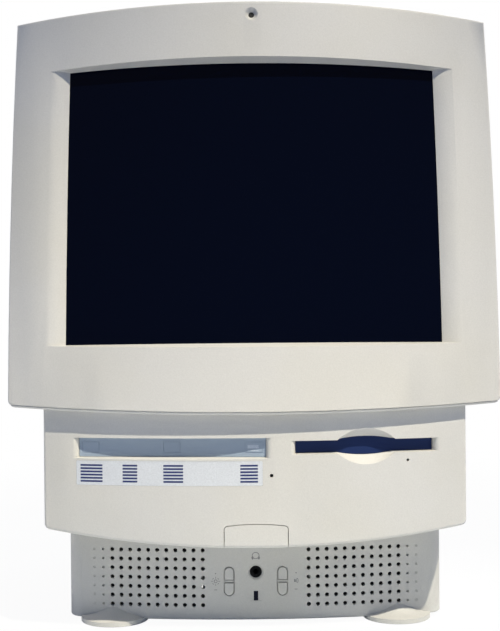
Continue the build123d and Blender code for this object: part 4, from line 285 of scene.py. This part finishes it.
@dataclass(frozen=True)
class TubeGlass(Finish):
    """Tinted, coated tube glass: nearly black in front, with a graphite coat over its bell."""

    coat: str = "#2B2B2D"
    face_depth: float = 0.075

    def build(self) -> bpy.types.Material:
        """Make the glass, whose coat starts behind the faceplate's skirt."""
        material, tree, shader = self.start()
        low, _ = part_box("picture_tube")
        depth = axis_value(tree, "Y")
        behind = calculate(tree, "GREATER_THAN", depth, low.y + self.face_depth)
        streaks = noise(tree, 3.0, 3.0, Vector((1, 1, 5)))
        graphite = ramp(tree, streaks, [(0.3, linear("#1E1E20")), (0.7, linear(self.coat))])
        colour = blend_colours(tree, behind, linear(self.colour), graphite)
        tree.links.new(colour, shader.inputs["Base Color"])
        rough = calculate(tree, "MULTIPLY_ADD", behind, 0.5, self.roughness)
        tree.links.new(rough, shader.inputs["Roughness"])
        return material


@dataclass(frozen=True)
class SheetMetal(Finish):
    """Rolled sheet metal: fine rolling lines along one direction and dull patches where it was handled."""

    rolled: tuple[float, float, float] = (30.0, 1.0, 1.0)

    def build(self) -> bpy.types.Material:
        """Make the rolled metal."""
        material, tree, shader = self.start()
        lines = noise(tree, 0.8, 2.0, Vector(self.rolled))
        dull = noise(tree, 25.0, 3.0)
        rough = calculate(tree, "MULTIPLY_ADD", dull, 0.25, self.roughness - 0.1)
        tree.links.new(rough, shader.inputs["Roughness"])
        shade = [(0.3, linear(self.colour)), (0.75, scaled(self.colour, 0.8))]
        tree.links.new(ramp(tree, lines, shade), shader.inputs["Base Color"])
        tree.links.new(bump(tree, lines, 0.01), shader.inputs["Normal"])
        return material


@dataclass(frozen=True)
class SolderMask(Finish):
    """Epoxy-glass board under green solder mask: copper tracks show through as a lighter relief."""

    pitch_mm: float = 4.0

    def build(self) -> bpy.types.Material:
        """Make the board with its tracks and pads."""
        material, tree, shader = self.start()
        place = add_node(tree, "ShaderNodeTexCoord").outputs["Object"]
        cells = add_node(
            tree,
            "ShaderNodeTexVoronoi",
            {"Scale": 1 / (self.pitch_mm * MM), "feature": "F1", "distance": "MANHATTAN", "Randomness": 0.8},
            {"Vector": place},
        )
        rings = calculate(tree, "PINGPONG", cells.outputs["Distance"], 0.16)
        track = ramp(tree, calculate(tree, "MULTIPLY", rings, 6.0), [(0.45, BLACK), (0.6, WHITE)])
        colour = blend_colours(tree, track, linear(self.colour), linear("#2E7A4B"))
        tree.links.new(colour, shader.inputs["Base Color"])
        tree.links.new(bump(tree, track, 0.04), shader.inputs["Normal"])
        return material


@dataclass(frozen=True)
class MouldedEpoxy(Finish):
    """Transfer-moulded epoxy: matt black with tiny glass specks."""

    def build(self) -> bpy.types.Material:
        """Make the moulded body."""
        material, tree, shader = self.start()
        specks = noise(tree, 0.5, 1.0)
        tint = scaled(self.colour, 2.2)
        colour = ramp(tree, specks, [(0.6, linear(self.colour)), (0.8, tint)])
        tree.links.new(colour, shader.inputs["Base Color"])
        tree.links.new(bump(tree, specks, 0.02), shader.inputs["Normal"])
        return material


@dataclass(frozen=True)
class PrintedInk(MouldedEpoxy):
    """Screen-printed or pad-printed epoxy ink: matt, with a fine speckle."""


@dataclass(frozen=True)
class EnamelledWire(Finish):
    """Windings of enamelled copper wire: fine glossy turns side by side under varnish."""

    turn_mm: float = 1.2
    waves_per_scale: float = 0.314

    def build(self) -> bpy.types.Material:
        """Make the windings, drawn as coarse turns so that they show."""
        material, tree, shader = self.start()
        place = add_node(tree, "ShaderNodeTexCoord").outputs["Object"]
        scale = self.waves_per_scale / (self.turn_mm * MM)
        settings = {"Scale": scale, "Distortion": 0.4, "bands_direction": "Y"}
        turns = add_node(tree, "ShaderNodeTexWave", settings, {"Vector": place}).outputs["Fac"]
        dark = scaled(self.colour, 0.35)
        colour = ramp(tree, turns, [(0.1, dark), (0.6, linear(self.colour))])
        tree.links.new(colour, shader.inputs["Base Color"])
        tree.links.new(bump(tree, turns, 0.4), shader.inputs["Normal"])
        return material


@dataclass(frozen=True)
class MattRubber(Finish):
    """Moulded rubber: matt, with dust in a fine grain."""

    def build(self) -> bpy.types.Material:
        """Make the rubber."""
        material, tree, shader = self.start()
        dust = noise(tree, 4.0, 5.0)
        pale = scaled(self.colour, 1.0, 0.02)
        colour = ramp(tree, dust, [(0.4, linear(self.colour)), (0.75, pale)])
        tree.links.new(colour, shader.inputs["Base Color"])
        tree.links.new(bump(tree, noise(tree, 0.7, 2.0), 0.04), shader.inputs["Normal"])
        return material


@dataclass(frozen=True)
class PressedPaper(Finish):
    """Pressed pulp of a loudspeaker's cone: fibrous, with faint rings."""

    def build(self) -> bpy.types.Material:
        """Make the paper."""
        material, tree, shader = self.start()
        fibre = noise(tree, 0.9, 4.0, Vector((4, 1, 1)))
        pale = scaled(self.colour, 2.0)
        colour = ramp(tree, fibre, [(0.4, linear(self.colour)), (0.8, pale)])
        tree.links.new(colour, shader.inputs["Base Color"])
        tree.links.new(bump(tree, fibre, 0.08), shader.inputs["Normal"])
        return material


@dataclass(frozen=True)
class WovenCloth(PressedPaper):
    """Woven dust cloth: fibrous and dull."""


@dataclass(frozen=True)
class PrintedFoil(Finish):
    """Polyester foil printed in silver: a fine pearly grain over a flat gloss."""

    def build(self) -> bpy.types.Material:
        """Make the foil."""
        material, tree, shader = self.start()
        grain = noise(tree, 0.8, 3.0)
        dark = scaled(self.colour, 0.86)
        colour = ramp(tree, grain, [(0.3, dark), (0.7, linear(self.colour))])
        tree.links.new(colour, shader.inputs["Base Color"])
        tree.links.new(bump(tree, grain, 0.01), shader.inputs["Normal"])
        return material


CREAM_ABS = TexturedAbs("cream textured ABS", "#D8D7D3", roughness=0.55, ior=1.53)
GREY_ABS = TexturedAbs("warm grey textured ABS", "#C9C9C6", roughness=0.55, ior=1.53, aged="#C4C2B8")
SLATE_ABS = SatinPlastic("slate satin ABS", "#9FAFC1", roughness=0.35, ior=1.53)
NAVY_ABS = SatinPlastic("navy satin ABS", "#1B2C58", roughness=0.5, ior=1.53, specular=0.15)
JACK_NYLON = SatinPlastic("black matt nylon", "#07080B", roughness=0.7, ior=1.53, specular=0.1)
BLACK_NYLON = SatinPlastic("black moulded nylon", "#17181B", roughness=0.45, ior=1.53)
SMOKED_LENS = SatinPlastic("smoked acrylic lens", "#0B0F22", roughness=0.35, ior=1.49, specular=0.1)
GLASS = TubeGlass("dark tinted tube glass", "#020617", roughness=0.15, ior=1.52, specular=0.02)
FOIL = PrintedFoil("silver printed polyester foil", "#DFE3E8", roughness=0.4, ior=1.6)
STEEL = SheetMetal("zinc-plated sheet steel", "#B4B6B8", roughness=0.38, metallic=1.0)
ALUMINIUM = SheetMetal("rolled aluminium", "#C6C8CB", roughness=0.32, metallic=1.0, rolled=(1.0, 30.0, 1.0))
BOARD = SolderMask("green solder mask on epoxy glass", "#1B5A36", roughness=0.3, ior=1.55)
EPOXY = MouldedEpoxy("black moulding epoxy", "#1C1C1E", roughness=0.6, ior=1.55)
COPPER_WIRE = EnamelledWire("enamelled copper windings", "#8A4420", roughness=0.3, ior=1.5)
RUBBER = MattRubber("black moulded rubber", "#1B1B1C", roughness=0.8, ior=1.52)
PAPER = PressedPaper("grey pressed pulp", "#2A2A2C", roughness=0.9, ior=1.5)
CLOTH = WovenCloth("black woven dust cloth", "#0B0B0C", roughness=0.95, ior=1.5)
NAVY_INK = PrintedInk("navy screen-printed ink", "#1F2C62", roughness=0.5, ior=1.5)
GREY_INK = PrintedInk("grey pad-printed ink", "#7E7F80", roughness=0.6, ior=1.5)
# Pale slate paint for the painted highlight bars on the optical slot's door, not a real print.
PAINTED_HIGHLIGHT_INK = PrintedInk("pale slate paint for a painted highlight", "#C3CFDC", roughness=0.4, ior=1.5)


@dataclass
class PackedFinishes:
    """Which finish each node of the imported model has."""

    def dress(self) -> None:
        """Dress every node."""
        CREAM_ABS.dress("display_bezel", "rear_housing", "drive_fascia", "name_tab")
        GREY_ABS.dress(
            "speaker_plinth",
            "base_casing",
            "base_pan",
            "brightness_up_button",
            "brightness_down_button",
            "volume_up_button",
            "volume_down_button",
        )
        GLASS.dress("picture_tube")
        SLATE_ABS.dress("cd_door")
        NAVY_ABS.dress("floppy_flap")
        FOIL.dress("label_plate")
        STEEL.dress(
            "tube_band",
            "tube_screws",
            "case_screws",
            "drive_cage",
            "power_supply",
            "board_tray",
            "left_speaker_frame",
            "right_speaker_frame",
            "rear_ports",
        )
        ALUMINIUM.dress(
            "chassis_deck",
            "cd_drive",
            "floppy_drive",
            "hard_drive",
            "cd_turntable",
            "floppy_hub",
        )
        BOARD.dress(
            "analog_board",
            "neck_board",
            "button_board",
            "logic_board",
            "supply_board",
            "memory_module",
        )
        EPOXY.dress("analog_parts", "flyback_transformer", "board_chips", "clock_battery", "neck_socket")
        COPPER_WIRE.dress("deflection_yoke", "degauss_coil")
        JACK_NYLON.dress("headphone_jack")
        SMOKED_LENS.dress("power_lamp")
        RUBBER.dress("anode_cap", "microphone", "rubber_feet")
        BLACK_NYLON.dress(
            "fan_frame",
            "fan_rotor",
            "power_inlet",
            "switch_frame",
            "power_rocker",
            "audio_jacks",
        )
        PAPER.dress("left_speaker_cone", "right_speaker_cone")
        CLOTH.dress("speaker_mesh")


# ---------------------------------------------------------------- printed marks
ROUND_SIDES = 32
BAR_CUTS = 6


class Shape(Enum):
    """Kinds of printed shape."""

    RING = "ring"
    DISC = "disc"
    BAR = "bar"


@dataclass(frozen=True)
class Stroke:
    """One printed shape: its kind, middle, sizes and line width in millimetres."""

    shape: Shape
    x: float
    z: float
    width: float
    height: float
    line: float = 0.0
    turn: float = 0.0

    def draw(self, depth: float) -> None:
        """Draw the shape into the mesh in edit mode, facing forwards.

        Args:
            depth: Distance of the flat shape along Y in metres.
        """
        middle = (self.x * MM, depth, self.z * MM)
        upright = (math.radians(90), 0, 0)
        if self.shape in (Shape.RING, Shape.DISC):
            bpy.ops.mesh.primitive_circle_add(
                vertices=ROUND_SIDES,
                radius=self.width * MM / 2,
                fill_type="NGON",
                location=middle,
                rotation=upright,
            )
            bpy.ops.transform.resize(value=(1, 1, self.height / self.width), center_override=middle)
        else:
            bpy.ops.mesh.primitive_plane_add(size=MM, location=middle, rotation=upright)
            bpy.ops.transform.resize(value=(self.width, 1, self.height), center_override=middle)
        if self.shape is Shape.RING:
            bpy.ops.mesh.inset(thickness=self.line * MM)
            bpy.ops.mesh.delete(type="FACE")
        elif self.shape is Shape.BAR:
            bpy.ops.mesh.subdivide(number_cuts=BAR_CUTS)
        if self.turn:
            bpy.ops.transform.rotate(
                value=math.radians(self.turn), orient_axis="Y", center_override=middle
            )


@dataclass(frozen=True)
class Print:
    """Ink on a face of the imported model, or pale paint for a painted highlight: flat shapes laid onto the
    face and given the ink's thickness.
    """

    name: str
    target: str
    strokes: tuple[Stroke, ...]
    slot: str
    body: str = "cabinet"
    ink_mm: float = 0.08
    start_ahead_mm: float = 5.0

    def build(self, finish: Finish) -> bpy.types.Object:
        """Model the print and fix it to its body.

        Args:
            finish: The ink.

        Returns:
            The printed marks as one object.
        """
        bpy.ops.object.select_all(action="DESELECT")
        bpy.ops.object.add(type="MESH", location=(0, 0, 0))
        piece = bpy.context.object
        piece.name = self.name
        bpy.ops.object.mode_set(mode="EDIT")
        low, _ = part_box(self.target)
        for stroke in self.strokes:
            stroke.draw(low.y - self.start_ahead_mm * MM)
            bpy.ops.mesh.select_all(action="DESELECT")
        bpy.ops.object.mode_set(mode="OBJECT")
        wrap = piece.modifiers.new("laid on the face", "SHRINKWRAP")
        wrap.target = NODES[self.target]
        wrap.wrap_method = "PROJECT"
        wrap.use_project_y = True
        wrap.use_positive_direction = True
        ink = piece.modifiers.new("ink", "SOLIDIFY")
        ink.thickness = self.ink_mm * MM
        ink.offset = 1.0
        for modifier in ("laid on the face", "ink"):
            bpy.ops.object.modifier_apply(modifier=modifier)
        piece.data.materials.append(finish.build())
        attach(piece, self.body)
        log.info("printed %s with %d shapes", self.name, len(self.strokes))
        return piece


@dataclass(frozen=True)
class Marks:
    """All printed marks: four groups of bars on the label, faint signs on the plinth, and pale bars on a door
    that are a painted highlight.

    Sizes and places are in millimetres.
    """

    label_z: float = 113.7
    emblem_x: tuple[float, float, float, float] = (-113.5, -86.5, -56.5, -4.5)
    emblem_width: tuple[float, float, float, float] = (15.5, 10.2, 13.6, 12.0)
    rows: int = 6
    row_height: float = 1.2
    row_pitch: float = 2.2
    top_row: float = 5.4
    jack_z: float = 36.5
    sign_x: float = 29.0
    sign_z: float = 29.9
    rays: int = 8
    ray_at: float = 2.6
    door_z: float = 131.1
    door_end: float = -1.6

    def emblems(self) -> tuple[Stroke, ...]:
        """Plain bars in rows, one group at each of the four places on the label."""
        top = self.label_z + self.top_row
        return tuple(
            Stroke(Shape.BAR, across, top - self.row_pitch * row, width, self.row_height)
            for across, width in zip(self.emblem_x, self.emblem_width)
            for row in range(self.rows)
        )

    def signs(self) -> tuple[Stroke, ...]:
        """Shapes of the headphone, brightness and loudness signs on the plinth."""
        x, z = self.sign_x, self.sign_z
        sun = [Stroke(Shape.RING, -x, z, 2.6, 2.6, 0.45)]
        for k in range(self.rays):
            turn = 360 / self.rays * k
            angle = math.radians(turn)
            place = (-x + self.ray_at * math.cos(angle), z + self.ray_at * math.sin(angle))
            sun.append(Stroke(Shape.BAR, *place, 1.3, 0.4, 0, -turn))
        waves = [Stroke(Shape.BAR, x - 0.8, z, 1.2, 2.0), Stroke(Shape.RING, x + 0.9, z, 1.6, 3.6, 0.4)]
        steps = []
        for side in (-x, x):
            steps.append(Stroke(Shape.DISC, side, z + 5.6, 0.9, 0.9))
            steps.append(Stroke(Shape.BAR, side, z - 6.2, 2.0, 0.45))
        band = [Stroke(Shape.RING, 0, self.jack_z + 11.9, 5.4, 5.0, 0.5)]
        cups = [Stroke(Shape.DISC, dx, self.jack_z + 10.2, 1.5, 2.4) for dx in (-2.3, 2.3)]
        return tuple(sun + waves + steps + band + cups)

    def door_highlight_bars(self) -> tuple[Stroke, ...]:
        """Two pale bars in the right-hand field of the optical slot's door, laid on as a painted highlight.
        """
        return (
            Stroke(Shape.BAR, self.door_end, self.door_z + 0.4, 7.6, 2.4),
            Stroke(Shape.BAR, self.door_end, self.door_z - 2.2, 7.6, 0.7),
        )

    def build(self) -> None:
        """Print every mark."""
        # The door's two pale bars are a painted highlight, laid on the door like ink.
        door = Print("door_painted_highlight", "cd_door", self.door_highlight_bars(), "door_plastic", body="cd_door")
        door.build(PAINTED_HIGHLIGHT_INK)
        Print("label_emblems", "label_plate", self.emblems(), "label_foil").build(NAVY_INK)
        Print("plinth_signs", "speaker_plinth", self.signs(), "plinth_plastic").build(GREY_INK)


# ---------------------------------------------------------------- studio
@dataclass(frozen=True)
class Lamp:
    """One studio lamp: its place, what it points at, its size in metres, power and colour."""

    name: str
    place: tuple[float, float, float]
    aim: tuple[float, float, float]
    size: float
    watts: float
    colour: str

    def light(self) -> bpy.types.Light:
        """Make the lamp's light."""
        raise NotImplementedError

    def build(self) -> None:
        """Put the lamp in the scene, turned to what it lights."""
        data = self.light()
        data.energy = self.watts
        data.color = linear(self.colour)[:3]
        lamp = bpy.data.objects.new(self.name, data)
        bpy.context.scene.collection.objects.link(lamp)
        lamp.location = self.place
        lamp.rotation_euler = (Vector(self.aim) - Vector(self.place)).to_track_quat("-Z", "Y").to_euler()


@dataclass(frozen=True)
class SoftBox(Lamp):
    """One square studio lamp."""

    def light(self) -> bpy.types.Light:
        """Make the square light."""
        data = bpy.data.lights.new(self.name, "AREA")
        data.size = self.size
        return data


@dataclass(frozen=True)
class Spotlight(Lamp):
    """One focused studio lamp with a soft rim to its beam."""

    beam_degrees: float = 30.0

    def light(self) -> bpy.types.Light:
        """Make the focused light."""
        data = bpy.data.lights.new(self.name, "SPOT")
        data.shadow_soft_size = self.size
        data.spot_size = math.radians(self.beam_degrees)
        data.spot_blend = 1.0
        return data


LAMPS = (
    Spotlight("key", (1.24, -1.96, 3.25), (-0.17, -0.15, -0.27), 0.03, 775, "#FFF6E1", 15.6),
    SoftBox("rear", (0.6, 2.2, 1.8), (0, 0.2, 0.2), 1.4, 45, "#FFF6EC"),
    SoftBox("flank", (-2.3, 0.9, 1.1), (-0.1, 0.1, 0.25), 1.2, 17, "#FFF3E4"),
    SoftBox("flank", (2.3, 0.9, 1.1), (0.1, 0.1, 0.25), 1.2, 12, "#FFF3E4"),
)


@dataclass
class Studio:
    """Pale floor, soft lamps, white surroundings and the camera."""

    camera_place: tuple[float, float, float] = (-0.01023, -1.0545, 0.2286)
    yaw_right: float = math.radians(0.488)
    pitch_down: float = math.radians(0.46)
    roll: float = math.radians(-0.501)
    focal_pixels: float = 1251.0
    image_height: int = 631
    sensor: float = 36.0
    floor_size: float = 12.0
    shadow_reach: float = 0.45
    lift: float = 0.95
    sky: str = "#8CB4FC"
    sky_strength: float = 0.25
    far_clip: float = 50.0

    def build_camera(self) -> None:
        """Set the camera at its measured place, nearly level and a little rolled."""
        data = bpy.data.cameras.new("camera")
        data.sensor_width = self.sensor
        data.lens = self.focal_pixels / self.image_height * self.sensor
        data.clip_end = self.far_clip
        camera = bpy.data.objects.new("camera", data)
        bpy.context.scene.collection.objects.link(camera)
        aim = Matrix.Rotation(-self.yaw_right, 4, "Z")
        tilt = Matrix.Rotation(math.radians(90) - self.pitch_down, 4, "X")
        roll = Matrix.Rotation(self.roll, 4, "Z")
        camera.matrix_world = Matrix.Translation(self.camera_place) @ aim @ tilt @ roll
        bpy.context.scene.camera = camera

    def build_floor(self) -> None:
        """Lay the pale matt floor, which takes the object's shadow and fades into white further out."""
        bpy.ops.object.select_all(action="DESELECT")
        bpy.ops.mesh.primitive_plane_add(size=self.floor_size, location=(0, 0, 0))
        floor = bpy.context.object
        floor.name = "studio_floor"
        material = bpy.data.materials.new("pale studio paint")
        material.use_nodes = True
        tree = material.node_tree
        shader = tree.nodes["Principled BSDF"]
        shader.inputs["Roughness"].default_value = 0.9
        shader.inputs["Specular IOR Level"].default_value = 0.1
        mottle = noise(tree, 60.0, 2.0)
        paint = ramp(tree, mottle, [(0.3, linear("#E3E8ED")), (0.7, linear("#E7ECF1"))])
        tree.links.new(paint, shader.inputs["Base Color"])
        place = add_node(tree, "ShaderNodeTexCoord").outputs["Object"]
        away = add_node(tree, "ShaderNodeVectorMath", {"operation": "LENGTH"}, {0: place}).outputs["Value"]
        reach = add_node(
            tree,
            "ShaderNodeMapRange",
            {
                "From Min": self.shadow_reach,
                "From Max": 2 * self.shadow_reach,
                "To Min": self.lift,
                "To Max": 1.0,
            },
            {"Value": away},
        ).outputs["Result"]
        seen = add_node(tree, "ShaderNodeLightPath").outputs["Is Camera Ray"]
        share = calculate(tree, "MULTIPLY", reach, seen)
        white = add_node(tree, "ShaderNodeEmission", {"Color": WHITE, "Strength": 1.0})
        mixed = add_node(
            tree, "ShaderNodeMixShader", links={0: share, 1: shader.outputs[0], 2: white.outputs[0]}
        )
        tree.links.new(mixed.outputs[0], tree.nodes["Material Output"].inputs["Surface"])
        floor.data.materials.append(material)

    def build_world(self) -> None:
        """Surround the object with white where it is seen and mirrored, and with soft blue light."""
        world = bpy.data.worlds.new("studio surroundings")
        bpy.context.scene.world = world
        world.use_nodes = True
        tree = world.node_tree
        tree.nodes.clear()
        ray = add_node(tree, "ShaderNodeLightPath").outputs
        seen = calculate(tree, "MAXIMUM", ray["Is Camera Ray"], ray["Is Glossy Ray"])
        seen = calculate(tree, "MAXIMUM", seen, ray["Is Transmission Ray"])
        sky = {"Color": linear(self.sky), "Strength": self.sky_strength}
        light = add_node(tree, "ShaderNodeBackground", sky)
        white = add_node(tree, "ShaderNodeBackground", {"Color": WHITE, "Strength": 1.0})
        both = {0: seen, 1: light.outputs[0], 2: white.outputs[0]}
        mixed = add_node(tree, "ShaderNodeMixShader", links=both)
        add_node(tree, "ShaderNodeOutputWorld", links={"Surface": mixed.outputs[0]})

    def build(self) -> None:
        """Set up the whole studio."""
        self.build_camera()
        self.build_floor()
        self.build_world()
        for lamp in LAMPS:
            lamp.build()
        bpy.context.scene.view_settings.view_transform = "Standard"
        log.info("studio is set")


def main() -> None:
    """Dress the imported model, print its marks and set the studio."""
    logging.basicConfig(level=logging.INFO, format="%(message)s")
    PackedFinishes().dress()
    Marks().build()
    Studio().build()


if __name__ == "__main__":
    main()
